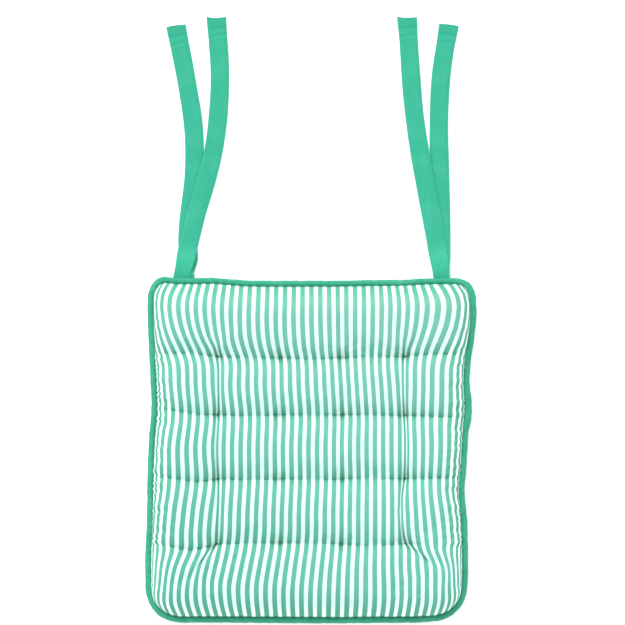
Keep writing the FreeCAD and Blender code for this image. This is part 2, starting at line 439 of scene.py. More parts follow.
@dataclass(frozen=True)
class PlainWeave:
    """Plain woven cotton in one colour, with a visible thread, light slubs and a faint uneven dye."""

    name: str
    body: tuple[float, float, float]
    deep: tuple[float, float, float]
    worn: tuple[float, float, float]
    pitch: float = 0.55
    cross_pitch: float = 0.42
    relief: float = 0.12
    turn: float = 0.0
    sheen: float = 0.15
    slub: float = 0.75
    slub_scale: float = 62.0
    slub_stretch: float = 7.0
    dye_scale: float = 28.0
    dye_share: float = 0.3
    fold_at: float = 0.0
    fold_wear_and_highlight: float = 0.7
    hem: float = 0.0
    hem_shade_share: float = 0.16
    hem_row_share: float = 0.45
    join_at: float = 0.0
    join_slant: float = 0.0

    def make(self) -> bpy.types.Material:
        """Build the material.

        Returns:
            The material.
        """
        recipe = Recipe(self.name, 0.86, self.sheen, self.worn)
        turned = recipe.node("ShaderNodeMapping")
        turned.inputs["Rotation"].default_value = (0.0, 0.0, math.radians(self.turn))
        recipe.wire(recipe.cloth_place(), turned.inputs["Vector"])
        spot = turned.outputs["Vector"]
        across, along, _ = recipe.axes(spot)
        weave = recipe.maths("MULTIPLY", recipe.threads(across, self.pitch * MM),
                             recipe.threads(along, self.cross_pitch * MM))
        stretched = recipe.node("ShaderNodeMapping")
        stretched.inputs["Scale"].default_value = (1.0, self.slub_stretch, 1.0)
        recipe.wire(spot, stretched.inputs["Vector"])
        slub = recipe.noise(stretched.outputs["Vector"], self.slub_scale, 4.0)
        lighter_share = recipe.step_between(recipe.noise(spot, self.dye_scale), 0.45, 0.7)
        thick = recipe.step_between(slub, 0.46, 0.7)
        shade = recipe.mix(recipe.step_between(weave, 0.0, 0.55), self.deep, self.body)
        shade = recipe.mix(recipe.maths("MULTIPLY", lighter_share, self.dye_share), shade, self.worn)
        shade = recipe.mix(recipe.maths("MULTIPLY", thick, self.slub), shade, self.deep)
        if self.fold_at:
            shade = self.wear_and_highlight_edges(recipe, across, shade)
        if self.hem:
            shade = self.shade_hem(recipe, along, shade)
        if self.join_at:
            shade = self.mark_join(recipe, shade)
        recipe.colour(shade)
        recipe.bump(recipe.maths("ADD", weave, recipe.maths("MULTIPLY", slub, 0.7)), self.relief * MM)
        return recipe.material

    def wear_and_highlight_edges(self, recipe: Recipe, across: bpy.types.NodeSocket,
                   shade: bpy.types.NodeSocket) -> bpy.types.NodeSocket:
        """Make both folded edges of a strip a little paler, partly wear and partly a painted highlight.

        Args:
            recipe: the material being made.
            across: position over the width of the strip, in metres.
            shade: the colour so far.

        Returns:
            The colour with its paler edges.
        """
        aside = recipe.maths("ABSOLUTE", across)
        edge = recipe.step_between(aside, (self.fold_at - 1.6) * MM, self.fold_at * MM)
        # Paler folded edges: wear, and a painted highlight along the folds.
        return recipe.mix(recipe.maths("MULTIPLY", edge, self.fold_wear_and_highlight), shade, self.worn)

    def shade_hem(self, recipe: Recipe, along: bpy.types.NodeSocket,
                 shade: bpy.types.NodeSocket) -> bpy.types.NodeSocket:
        """Paint shade on the doubled cloth of a hem and a shadow along the very end, and darken the row that
        is sewn across it.

        Args:
            recipe: the material being made.
            along: distance from the free end, in metres.
            shade: the colour so far.

        Returns:
            The colour with its hem.
        """
        # Painted shade on the doubled hem band.
        hem_band = recipe.step_between(along, (self.hem + 1.0) * MM, self.hem * MM)
        from_row = recipe.maths("ABSOLUTE", recipe.maths("SUBTRACT", along, self.hem * MM))
        row = recipe.maths("MULTIPLY", recipe.step_between(from_row, 0.9 * MM, 0.2 * MM), self.hem_row_share)
        # Painted shadow along the very end.
        end = recipe.step_between(along, 1.3 * MM, 0.5 * MM)
        dark = recipe.maths("MAXIMUM", recipe.maths("MULTIPLY", hem_band, self.hem_shade_share),
                            recipe.maths("MAXIMUM", row, end))
        return recipe.mix(dark, shade, tuple(0.8 * part for part in self.deep))

    def mark_join(self, recipe: Recipe, shade: bpy.types.NodeSocket) -> bpy.types.NodeSocket:
        """Darken the slanting line where the two ends of a bias strip meet.

        Args:
            recipe: the material being made.
            shade: the colour so far.

        Returns:
            The colour with its line.
        """
        along, around, _ = recipe.axes(recipe.cloth_place())
        slanted = recipe.maths("MULTIPLY_ADD", recipe.maths("ABSOLUTE", around), self.join_slant, along)
        away = recipe.maths("ABSOLUTE", recipe.maths("SUBTRACT", slanted, (self.join_at - 0.8) * MM))
        line = recipe.step_between(away, 0.9 * MM, 0.3 * MM)
        return recipe.mix(line, shade, tuple(0.55 * part for part in self.deep))


@dataclass(frozen=True)
class StripedWeave:
    """Woven cotton with even stripes along its length, slightly soft at the edges of each stripe, with light
    and shade painted on its colour.
    """

    name: str = "striped_cotton_cloth"
    ground: tuple[float, float, float] = (0.62, 0.88, 0.86)
    # Painted light: the white is painted lighter on the low parts, where shade falls.
    ground_low_painted_light: tuple[float, float, float] = (0.83, 0.94, 0.92)
    stripe: tuple[float, float, float] = (0.128, 0.42, 0.32)
    # Painted shade and painted light: the green is painted darker towards the front left and paler towards
    # the back and the right.
    stripe_shade: tuple[float, float, float] = (0.09, 0.362, 0.262)
    stripe_painted_light: tuple[float, float, float] = (0.165, 0.425, 0.328)
    # Painted shade: the green is painted deeper on the low parts, in the valleys between the rolls.
    stripe_valley_shade: tuple[float, float, float] = (0.07, 0.37, 0.25)
    share: float = 0.55
    edge_blur: float = 0.022
    # Heights in millimetres over which the painted valley shade and painted light give way to the colours of
    # the crests.
    painted_shade_step: tuple[float, float] = (29.0, 43.0)
    # How steeply the painted light rises towards the back and the right, and the painted shade towards the
    # front and the left; to the right only as far as side_limit.
    back_lean: float = 3.75
    side_lean: float = 3.3
    side_limit: float = 50.0

    def make(self) -> bpy.types.Material:
        """Build the material.

        Returns:
            The material.
        """
        recipe = Recipe(self.name, 0.88, 0.12, (0.9, 1.0, 0.96))
        spot = recipe.cloth_place()
        across, along, _ = recipe.axes(spot)
        fringe = recipe.drift(spot, 900.0, 2.0, 0.05)
        count = recipe.maths("ADD", recipe.maths("DIVIDE", across, STRIPE_PITCH * MM), fringe)
        offset = recipe.maths("PINGPONG", count, 0.5)
        inked = recipe.step_between(offset, self.share / 2 + self.edge_blur, self.share / 2 - self.edge_blur)
        weave = recipe.maths("MULTIPLY", recipe.threads(across, 0.42 * MM), recipe.threads(along, 0.5 * MM))
        gaps = recipe.step_between(weave, 0.0, 0.5)
        aside, back, height = recipe.axes(recipe.space_place())
        level = recipe.maths("ADD", height, recipe.drift(spot, 45.0, 3.0, 0.012))
        # Painted shade on the green and painted light on the white, on the low parts of the cover.
        painted_shade_step = recipe.step_between(level, self.painted_shade_step[0] * MM, self.painted_shade_step[1] * MM)
        lighter_share = recipe.maths("MULTIPLY", painted_shade_step, recipe.maths("MULTIPLY_ADD", gaps, 0.3, 0.7))
        # Painted light towards the back and the right, painted shade towards the front and the left.
        near = recipe.maths("MINIMUM", aside, self.side_limit * MM)
        sideways = recipe.maths("MULTIPLY", near, self.side_lean)
        painted_light_lean = recipe.maths("ADD", recipe.maths("MULTIPLY", back, self.back_lean), sideways)
        front = recipe.held(recipe.maths("MULTIPLY", painted_light_lean, -1.0))
        stripe_painted_light_and_shade = recipe.mix(front, self.stripe, self.stripe_shade)
        stripe_painted_light_and_shade = recipe.mix(recipe.held(painted_light_lean), stripe_painted_light_and_shade, self.stripe_painted_light)
        green = recipe.mix(lighter_share, self.stripe_valley_shade, stripe_painted_light_and_shade)
        recipe.colour(recipe.mix(inked, recipe.mix(painted_shade_step, self.ground_low_painted_light, self.ground), green))
        slub = recipe.noise(spot, 420.0, 3.0)
        recipe.bump(recipe.maths("ADD", weave, recipe.maths("MULTIPLY", slub, 0.8)), 0.09 * MM)
        return recipe.material


@dataclass(frozen=True)
class SpunThread:
    """Twisted sewing thread with a slight gloss."""

    name: str
    body: tuple[float, float, float]
    deep: tuple[float, float, float]
    twists: float = 1400.0

    def make(self) -> bpy.types.Material:
        """Build the material.

        Returns:
            The material.
        """
        recipe = Recipe(self.name, 0.55, 0.2, self.body)
        spot = recipe.space_place()
        across, along, up = recipe.axes(spot)
        slant = recipe.maths("ADD", recipe.maths("ADD", across, along), recipe.maths("MULTIPLY", up, 1.7))
        ply = recipe.threads(slant, 1.0 / self.twists)
        fuzz = recipe.noise(spot, 2600.0)
        recipe.colour(recipe.mix(recipe.maths("MULTIPLY", ply, fuzz), self.deep, self.body))
        recipe.bump(ply, 0.06 * MM)
        return recipe.material


@dataclass(frozen=True)
class Fibre:
    """Loose crimped fibre filling, or the soft cotton of a piping cord."""

    name: str
    body: tuple[float, float, float]
    deep: tuple[float, float, float]
    scale: float = 260.0

    def make(self) -> bpy.types.Material:
        """Build the material.

        Returns:
            The material.
        """
        recipe = Recipe(self.name, 0.95, 0.3, self.body)
        spot = recipe.space_place()
        tuftiness = recipe.noise(spot, self.scale, 8.0)
        cloud = recipe.noise(spot, self.scale / 8, 3.0)
        recipe.colour(recipe.mix(recipe.maths("MULTIPLY", tuftiness, cloud), self.deep, self.body))
        recipe.bump(tuftiness, 0.8 * MM)
        return recipe.material


SEWING_THREAD = SpunThread("sewing_thread_cotton", (0.046, 0.38, 0.25), (0.026, 0.26, 0.165))
# The ties' folded edges get a painted highlight, and their hems painted shade.
TIE_CLOTH = PlainWeave("tie_cotton_cloth", (0.038, 0.412, 0.265), (0.024, 0.325, 0.2), (0.085, 0.47, 0.335),
                       pitch=0.6, cross_pitch=0.8, relief=0.14, slub=0.5, slub_scale=120.0, fold_at=11.0,
                       fold_wear_and_highlight=0.4, hem=11.0)


# ------------------------------------------------------------------------------------- outline and its play


@dataclass
class Outline:
    """The pad's plan over the piping, and how far its soft edges wander from it."""

    half_width: float = 190.0
    half_length: float = 200.0
    back_radius: float = 28.0
    front_radius: float = 45.0
    left_play: list[tuple[float, float]] = field(default_factory=lambda: [
        (-200, -2.5), (-160, 0.5), (-125, 0), (-90, 2), (-20, 3), (20, 5), (49, 8), (90, 6), (155, 3),
        (200, 3)])
    right_play: list[tuple[float, float]] = field(default_factory=lambda: [
        (-200, 0), (-160, -3), (-140, -2), (-80, -3), (-49, -7), (-20, -4), (20, -2), (49, 1), (84, -1),
        (105, 1), (130, 5), (155, 8), (200, 6)])
    back_play: list[tuple[float, float]] = field(default_factory=lambda: [
        (-190, 6), (-181, 7), (-173, 5.2), (-164, 0.9), (-127, 0.8), (-116, 2), (-90, -0.3), (-67, -2),
        (40, -2), (80, -1), (114, -1), (134, 0.6), (146, 0.8), (169, 0.8), (178, 4.4), (185, 6.5),
        (190, 6.5)])
    front_play: list[tuple[float, float]] = field(default_factory=lambda: [
        (-190, -2.5), (-150, -1.4), (-90, -1.4), (0, -2.2), (50, -2.2), (90, -1.6), (125, -1.6), (150, 0),
        (190, 0)])
    rounding: tuple[float, ...] = (-9.0, -4.5, 0.0, 4.5, 9.0)
    reach: float = 75.0
    tie_room: float = 6.0

    def play(self, table: list[tuple[float, float]], where: np.ndarray) -> np.ndarray:
        """Wander of one side, rounded off between its given places."""
        return wander(table, where, self.rounding)

    def relax(self, piece: bpy.types.Object) -> None:
        """Let a piece follow the wander of the edges nearest to it.

        Args:
            piece: the piece, in its place.
        """
        points = Bench.points(piece)
        x, y = points[:, 0] / MM, points[:, 1] / MM
        near_left = ease(-x, self.half_width - self.reach, self.half_width)
        near_right = ease(x, self.half_width - self.reach, self.half_width)
        near_back = ease(y, self.half_length - self.reach, self.half_length)
        near_front = ease(-y, self.half_length - self.reach, self.half_length)
        inside = 1.0 - ease(y, self.half_length, self.half_length + self.tie_room)
        points[:, 0] += MM * near_left * self.play(self.left_play, y)
        points[:, 0] += MM * near_right * self.play(self.right_play, y)
        points[:, 1] += MM * near_back * inside * self.play(self.back_play, x)
        points[:, 1] += MM * near_front * self.play(self.front_play, x)
        Bench.place(piece, points)

    def trace(self, share: np.ndarray, inset: float) -> tuple[np.ndarray, np.ndarray]:
        """Points round the outline from the middle of the right side, anticlockwise.

        Args:
            share: share of the way round, one value per point.
            inset: distance inside the outline, in millimetres.

        Returns:
            Points and outward directions, each as rows x, y in millimetres.
        """
        wide, long = self.half_width - inset, self.half_length - inset
        corners = [(1, 1, self.back_radius), (-1, 1, self.back_radius),
                   (-1, -1, self.front_radius), (1, -1, self.front_radius)]
        points, outward = [], []
        for turn, (side_x, side_y, full) in enumerate(corners):
            radius = full - inset
            angles = np.radians(90.0 * turn + np.linspace(0.0, 90.0, 41))
            ray = np.stack([np.cos(angles), np.sin(angles)], 1)
            points.append(np.array([side_x * (wide - radius), side_y * (long - radius)]) + radius * ray)
            outward.append(ray)
        points = np.concatenate(points)
        outward = np.concatenate(outward)
        start = np.array([[wide, 0.0]])
        points = np.concatenate([start, points, start])
        outward = np.concatenate([[[1.0, 0.0]], outward, [[1.0, 0.0]]])
        run = np.concatenate([[0.0], np.cumsum(np.linalg.norm(np.diff(points, axis=0), axis=1))])
        at = (share % 1.0) * run[-1]
        place = np.stack([np.interp(at, run, points[:, k]) for k in (0, 1)], 1)
        ray = np.stack([np.interp(at, run, outward[:, k]) for k in (0, 1)], 1)
        return place, ray / np.linalg.norm(ray, axis=1, keepdims=True)

    def wrap(self, piece: bpy.types.Object, inset: float, height: float) -> tuple[np.ndarray, np.ndarray]:
        """Bend a ring of 1 m radius round the pad's outline.

        Args:
            piece: the ring, centred on the origin.
            inset: where its centre line goes, in millimetres inside the outline.
            height: height of its centre line, in millimetres.

        Returns:
            Each vertex's share of the way round, and its distance outside the centre line in metres.
        """
        points = Bench.points(piece)
        share = np.arctan2(points[:, 1], points[:, 0]) / (2 * math.pi) % 1.0
        out = np.hypot(points[:, 0], points[:, 1]) - 1.0
        place, ray = self.trace(share, inset)
        flat = place * MM + ray * out[:, None]
        Bench.place(piece, np.column_stack([flat, points[:, 2] + height * MM]))
        return share, out


# --------------------------------------------------------------------------------------------- the covers


@dataclass
class StripeRun:
    """How the woven stripes drift as the cover is drawn in by the tufting.

    The table holds places across the pad of some of the stripes, by number, at several places along it.
    """

    stations: tuple[float, ...] = (-194, -178, -160, -138, -115, -98, -73, -37, 5, 37, 73, 108, 119, 129, 152,
                                   176, 194)
    stripes: dict[int, tuple[float, ...]] = field(default_factory=lambda: {
        1: (-168, -178, -179, -176, -169, -169, -167, -163, -164, -161, -163,
             -165, -170, -173, -178, -177, -167),
        5: (-135, -140, -140, -135, -126, -126, -124, -119, -121, -118, -121,
             -124, -128, -133, -140, -141, -136),
        9: (-98, -101, -102, -98, -93, -91, -90, -88, -88, -87, -90,
             -91, -95, -98, -100, -99, -98),
        20: (14, 14, 14.5, 16.5, 19, 20, 20, 21.5, 21, 22, 20,
             18, 16.5, 16, 15, 15, 15),
        28: (98, 100, 100, 99, 99, 99, 99, 98.5, 98, 98, 96,
             94, 95, 96, 97, 97, 96),
        32: (136, 140, 141, 142, 132, 129, 127.5, 126, 126, 125, 126,
             127, 129, 132, 137, 138, 133),
        36: (172, 180, 181, 177, 171, 170, 167, 165, 166, 164, 165,
             167, 170, 173, 178, 178, 167)})
    middle_pitch: float = 9.85
    fold_reach: float = 3.8
    open_reach: float = 26.0
    back_open: tuple[float, float] = (116.0, 150.0)
    front_left_open: tuple[float, float] = (140.0, 168.0)
    front_right_open: tuple[float, float] = (126.0, 158.0)

    def line(self, number: int, y: np.ndarray) -> np.ndarray:
        """Follow one stripe along the pad, on a smooth curve.

        Args:
            number: the stripe's number, one of the table's.
            y: plan places along the pad.

        Returns:
            The stripe's place across the pad at each of them.
        """
        stops, places = np.array(self.stations, float), np.array(self.stripes[number], float)
        return smooth_curve(np.clip(y, stops[0], stops[-1]), stops, places, np.gradient(places, stops))

    def count(self, x: np.ndarray, y: np.ndarray, folds: tuple[np.ndarray, np.ndarray]) -> np.ndarray:
        """Stripe number at each place, as a running number that is whole in the middle of a stripe.

        Args:
            x: plan places across the pad.
            y: plan places along it.
            folds: distance to the right of the first and of the last column's pinched fold.

        Returns:
            The running number. It jumps across a pinched fold by the cloth that the fold takes in.
        """
        lines = {number: self.line(number, y) for number in self.stripes}
        middle = 9 + (x - lines[9]) * 11 / (lines[20] - lines[9])
        middle = np.where(x > lines[20], 20 + (x - lines[20]) * 8 / (lines[28] - lines[20]), middle)
        middle = np.where(x < lines[9], 9 + (x - lines[9]) / self.middle_pitch, middle)
        middle = np.where(x > lines[28], 28 + (x - lines[28]) / self.middle_pitch, middle)
        left = 5 + (x - lines[5]) * 4 / (lines[5] - lines[1])
        left = np.where(x > lines[5], 5 + (x - lines[5]) / STRIPE_PITCH, left)
        right = 32 + (x - lines[32]) * 4 / (lines[36] - lines[32])
        right = np.where(x < lines[32], 32 + (x - lines[32]) / STRIPE_PITCH, right)
        reach = self.fold_reach + self.open_reach * ease(y, *self.back_open)
        left_reach = reach + self.open_reach * ease(-y, *self.front_left_open)
        right_reach = reach + self.open_reach * ease(-y, *self.front_right_open)
        past_left = np.clip(folds[0] / (2 * left_reach) + 0.5, 0.0, 1.0)
        past_right = np.clip(folds[1] / (2 * right_reach) + 0.5, 0.0, 1.0)
        found = left * (1 - past_left) + middle * past_left
        return found * (1 - past_right) + right * past_right


@dataclass
class Lay:
    """Where each vertex of a cover lies, over the cloth and in plan before the folds sway."""

    across: np.ndarray
    along: np.ndarray
    plan_y: np.ndarray


@dataclass(frozen=True)
class FrontFold:
    """A pinched fold from an outer tuft of the front row out to the front corner."""

    column: int
    inner_column: int
    reach: float
    sway_end: float
    depth: float
    depth_end: float
    start: float = 108.0


@dataclass(frozen=True)
class BackFold:
    """A short straight fold from an outer tuft of the last row out to the back corner."""

    start: tuple[float, float]
    end: tuple[float, float]
    depth: float = 3.0
    width: float = 4.0


@dataclass
class Cover:
    """One cover of the pad, as a grid of cloth sewn into the seam all round and drawn in at the tufts."""

    outline: Outline
    face: Face
    seam_inset: float = 6.8
    crest: float = 45.6
    side_run: float = 38.0
    side_cloth: float = 52.0
    row_lines: tuple[float, ...] = (-109.5, -33.5, 41.5, 109.5)
    column_lines: tuple[float, ...] = (-105.0, -32.0, 41.0, 114.0)
    across_counts: tuple[int, ...] = (19, 14, 14, 14, 17)
    along_counts: tuple[int, ...] = (36, 29, 27, 26, 36)
    across_grading: float = 0.4
    row_play: tuple[tuple[tuple[float, float], ...], ...] = (
        ((-190, 3), (-165, -2), (-138, -8), (-118, -4), (-105, 0), (-32, 1), (41, 0), (65, -3), (95, -1),
         (114, 0)),
        ((-190, 4), (-160, 1), (-130, -4), (-105, 0), (-68, -1.5), (-32, 0), (5, -1.5), (41, 0), (114, 0),
         (190, 2)),
        ((-190, 8), (-155, 4), (-130, 0), (-105, 0), (-68, -1.5), (-32, 0), (5, -1.5), (41, 0), (114, -1),
         (190, -3)),
        ((-190, 3), (-140, 4), (-105, 0), (-68, -2), (-32, -1.5), (5, -3.5), (41, -1), (78, -1), (114, 0),
         (150, 3)))
    row_rounding: tuple[float, ...] = (-5.0, 0.0, 5.0)
    row_fade: float = 24.0
    tuft_height: float = 24.6
    valley_height: float = 33.5
    column_folds: tuple[float, ...] = (8.0, 4.9, 4.9, 8.5)
    column_sweep: tuple[float, ...] = (1.6, 1.0, 1.0, -1.8)
    column_fade: float = 22.0
    fold_width: float = 3.6
    long_fold: float = 5.0
    fold_span: tuple[float, float] = (-150.0, 112.0)
    front_folds: tuple[FrontFold, ...] = (FrontFold(0, 1, -30.0, 158.0, 5.5, 160.0),
                                          FrontFold(-1, -2, 35.0, 147.0, 7.0, 150.0))
    back_folds: tuple[BackFold, ...] = (BackFold((-105.0, 109.5), (-124.0, 132.0)),
                                        BackFold((114.0, 109.5), (134.0, 136.0)))
    front_bow: float = -3.2
    end_roll: float = 80.0
    roll_square: float = 2.15
    roll_round: float = 0.72
    shallow_arch: float = 0.86
    shallow_from: tuple[float, float] = (118.0, 140.0)
    soft_from: float = 39.0
    soft_room: float = 8.6
    settle_steps: int = 24
    side_give: float = 0.35
    most_move: float = 6.0
    crest_room: float = 0.3
    tuft_reach: float = 6.5
    underside_pull: float = 2.2
    base_rest: float = 0.05
    base_tuft_reach: float = 4.0
    base_square: float = 0.8
    pucker_pitch: float = 7.0
    pucker_reach: float = 7.5
    pucker_calm: float = 0.22
    pucker_lift: float = 0.4
    pucker_slide: float = 0.7
    left_puckers: tuple[float, ...] = (104.0, 66.0, 38.0, -24.0, -44.0, -72.0, -108.0)
    right_puckers: tuple[float, ...] = (96.0, 55.0, 8.0, -22.0, -46.0, -76.0, -106.0)
    wall: float = 0.8

    @property
    def flat_width(self) -> float:
        """Half the width of the middle, inside the rounded sides."""
        return self.outline.half_width - self.seam_inset - self.side_run

    @property
    def flat_length(self) -> float:
        """Half the length of the middle, inside the rounded sides."""
        return self.outline.half_length - self.seam_inset - self.side_run

    @property
    def seam_edge(self) -> float:
        """Half the width of the cover out to its seam."""
        return self.outline.half_width - self.seam_inset

    @staticmethod
    def stations(half: float, lines: tuple[float, ...], counts: tuple[int, ...],
                 grading: float) -> np.ndarray:
        """Steps of cloth between the tufting lines, out to the seam on both sides.

        Args:
            half: distance along the cloth from the middle of the pad to the seam.
            lines: the tufting lines.
            counts: number of steps in each stretch between them.
            grading: how much closer the steps are near the lines, from 0 for even steps.

        Returns:
            All places along the cloth, the lines among them.
        """
        stops = (-half, *lines, half)
        runs = []
        for low, high, count in zip(stops, stops[1:], counts):
            share = np.arange(count) / count
            runs.append(low + (high - low) * (share - grading * np.sin(2 * math.pi * share) / (2 * math.pi)))
        return np.concatenate([*runs, [half]])

    def fold_over(self, cloth: np.ndarray, flat: float) -> tuple[np.ndarray, np.ndarray]:
        """Turn a distance along the cloth into a plan distance, over the rounded side.

        Args:
            cloth: distance along the cloth from the middle of the pad.
            flat: half the size of the middle.

        Returns:
            The plan distance, and how much of the full height is left there, from 1 to 0 at the seam.
        """
        turn = np.clip(np.abs(cloth) - flat, 0.0, self.side_cloth) / self.side_cloth * math.pi / 2
        plan = np.sign(cloth) * (np.minimum(np.abs(cloth), flat) + self.side_run * np.sin(turn))
        return plan, np.cos(turn)

    def round_corners(self, x: np.ndarray, y: np.ndarray) -> tuple[np.ndarray, np.ndarray]:
        """Draw the square corners of the grid in to the outline's round ones.

        Args:
            x: plan places across the pad, in millimetres.
            y: plan places along it.

        Returns:
            The drawn-in places, x and y.
        """
        x, y = x.copy(), y.copy()
        for side_x in (-1, 1):
            for side_y in (-1, 1):
                full = self.outline.back_radius if side_y > 0 else self.outline.front_radius
                radius = full - self.seam_inset
                centre_x = self.outline.half_width - full
                centre_y = self.outline.half_length - full
                over_x = (side_x * x - centre_x) / radius
                over_y = (side_y * y - centre_y) / radius
                corner = (over_x > 0) & (over_y > 0)
                round_x = over_x * np.sqrt(1.0 - np.clip(over_y, 0, 1) ** 2 / 2)
                round_y = over_y * np.sqrt(1.0 - np.clip(over_x, 0, 1) ** 2 / 2)
                x[corner] = side_x * (centre_x + radius * round_x[corner])
                y[corner] = side_y * (centre_y + radius * round_y[corner])
        return x, y

    def bolsters(self, x: np.ndarray, y: np.ndarray, valley: np.ndarray) -> np.ndarray:
        """Height of the five rounded rolls between the rows of tufts.

        Args:
            x: plan places across the pad.
            y: plan places along it.
            valley: height of the valley floor at each place.

        Returns:
            The height at each place.
        """
        lines = self.row_lines
        stops = (lines[0] - self.end_roll, *lines, lines[-1] + self.end_roll)
        share = np.full_like(y, 0.5)
        for low, high in zip(stops, stops[1:]):
            here = (y >= low) & (y <= high)
            share[here] = (y[here] - low) / (high - low)
        outer = (y < lines[0] - self.end_roll / 2) | (y > lines[-1] + self.end_roll / 2)
        arch = (1.0 - np.clip(np.abs(2.0 * share - 1.0), 0, 1) ** self.roll_square) ** self.roll_round
        arch = np.where(outer, 1.0, arch)
        front_right = ease(x, *self.shallow_from) * (1.0 - ease(np.abs(y - lines[0]), 22.0, 40.0))
        arch = arch + (self.shallow_arch - arch) * front_right * (arch < self.shallow_arch)
        return valley + (self.crest - valley) * arch

    def sway(self, x: np.ndarray, y: np.ndarray) -> tuple[np.ndarray, np.ndarray]:
        """Bend the rows' and columns' fold lines, which run a little unevenly between the tufts.

        Args:
            x: plan places across the pad, in millimetres.
            y: plan places along it.

        Returns:
            The bent places, x and y.
        """
        shift_y = np.zeros_like(y)
        for line, play in zip(self.row_lines, self.row_play):
            shift_y += wander(play, x, self.row_rounding) * np.exp(-((y - line) / self.row_fade) ** 2)
        front, second = self.row_lines[:2]
        last = self.column_lines[-1]
        behind_front = ease(y, -112.0, -100.0)
        wave = np.sin(math.pi * (y - front) / 75.0) * behind_front * (1.0 - ease(y, 100.0, 125.0))
        shift_x = np.zeros_like(x)
        for line, sweep in zip(self.column_lines, self.column_sweep):
            shift_x += sweep * wave * np.exp(-np.abs(x - line) / self.column_fade)
        bow = np.sin(math.pi * (y - front) / (second - front))
        bow = bow * behind_front * (1.0 - ease(y, second - 6.5, second))
        shift_x += self.front_bow * bow * np.exp(-np.abs(x - last) / self.column_fade)
        for fold in self.front_folds:
            line, inner = self.column_lines[fold.column], self.column_lines[fold.inner_column]
            outward = (x - line) * np.sign(fold.reach)
            room = np.where(outward > 0, self.seam_edge - abs(line), abs(inner - line))
            run = np.sin(math.pi / 2 * np.clip((-y - fold.start) / (fold.sway_end - fold.start), 0.0, 1.0))
            near = np.clip(1.0 - np.abs(outward) / room, 0.0, 1.0)
            shift_x += fold.reach * run * near * (1.0 - ease(-y, fold.sway_end - 8.0, 196.0))
        return x + shift_x, y + shift_y

    def near_tuft(self, x: np.ndarray, y: np.ndarray, radius: float) -> np.ndarray:
        """Tell how close each place is to its nearest tuft.

        Args:
            x: plan places across the pad, in millimetres.
            y: plan places along it.
            radius: distance over which the closeness falls to about a third.

        Returns:
            The closeness at each place, from 1 on a tuft to 0 well away.
        """
        nearest = np.full_like(x, 1e6)
        for line_x in self.column_lines:
            for line_y in self.row_lines:
                nearest = np.minimum(nearest, np.hypot(x - line_x, y - line_y))
        return np.exp(-nearest / radius)

    def pinches(self, x: np.ndarray, y: np.ndarray) -> np.ndarray:
        """Cut the pinched folds that run along the columns and out to the corners.

        Args:
            x: plan places across the pad, in millimetres.
            y: plan places along it.

        Returns:
            The folds' depth at each place.
        """
        inside = ease(y, -128.0, -110.0) * (1.0 - ease(y, 110.0, 124.0))
        row_gap = np.min(np.abs(y[None, :] - np.array(self.row_lines)[:, None]), axis=0)
        whole = 0.55 + 0.45 * np.exp(-(row_gap / 15.0) ** 2)
        near_rows = np.exp(-row_gap / 17.0)
        depth = np.zeros_like(x)
        for line, fold in zip(self.column_lines, self.column_folds):
            share = whole if fold > self.long_fold else near_rows
            depth += fold * share * inside * np.exp(-np.abs(x - line) / self.fold_width)
        for fold in self.front_folds:
            line = self.column_lines[fold.column]
            below = ease(-y, 107.0, 111.0) * (1.0 - ease(-y, 122.0, fold.depth_end))
            depth += fold.depth * below * (1.0 - inside) * np.exp(-np.abs(x - line) / self.fold_width)
        for fold in self.back_folds:
            run_x, run_y = fold.end[0] - fold.start[0], fold.end[1] - fold.start[1]
            length = math.hypot(run_x, run_y)
            off_x, off_y = x - fold.start[0], y - fold.start[1]
            along = (off_x * run_x + off_y * run_y) / length ** 2
            aside = np.abs(off_x * run_y - off_y * run_x) / length
            fading = ease(along, -0.08, 0.05) * (1.0 - ease(along, 0.5, 1.0))
            depth += fold.depth * fading * np.exp(-aside / fold.width)
        return depth

    @staticmethod
    def gathers(x: np.ndarray, y: np.ndarray, lift_x: np.ndarray, lift_y: np.ndarray) -> np.ndarray:
        """Raise small uneven puckers where the cloth is eased into the seam.

        Args:
            x: plan places across the pad, in millimetres.
            y: plan places along it.
            lift_x: share of the height left across the pad, 0 at the seam.
            lift_y: the same along it.

        Returns:
            The puckers' height at each place.
        """
        waves_y = np.sin(y / 1.75 + 0.9 + 1.2 * np.sin(y / 17.0)) + 0.8 * np.sin(y / 3.3 + 2.0) \
            + 0.6 * np.sin(y / 6.1)
        waves_x = np.sin(x / 2.1 + 0.4 + np.sin(x / 15.0)) + 0.7 * np.sin(x / 4.2 + 1.0) \
            + 0.4 * np.sin(x / 7.2)
        side = np.sin(math.pi * np.clip(1.2 * (1.0 - lift_x), 0, 1)) * waves_y
        ends = np.sin(math.pi * np.clip(1.2 * (1.0 - lift_y), 0, 1)) * waves_x
        inner = 0.35 + 0.65 * ease(y, -124.0, -108.0) * (1.0 - ease(y, 108.0, 124.0))
        return 0.95 * side * inner + 0.3 * ends

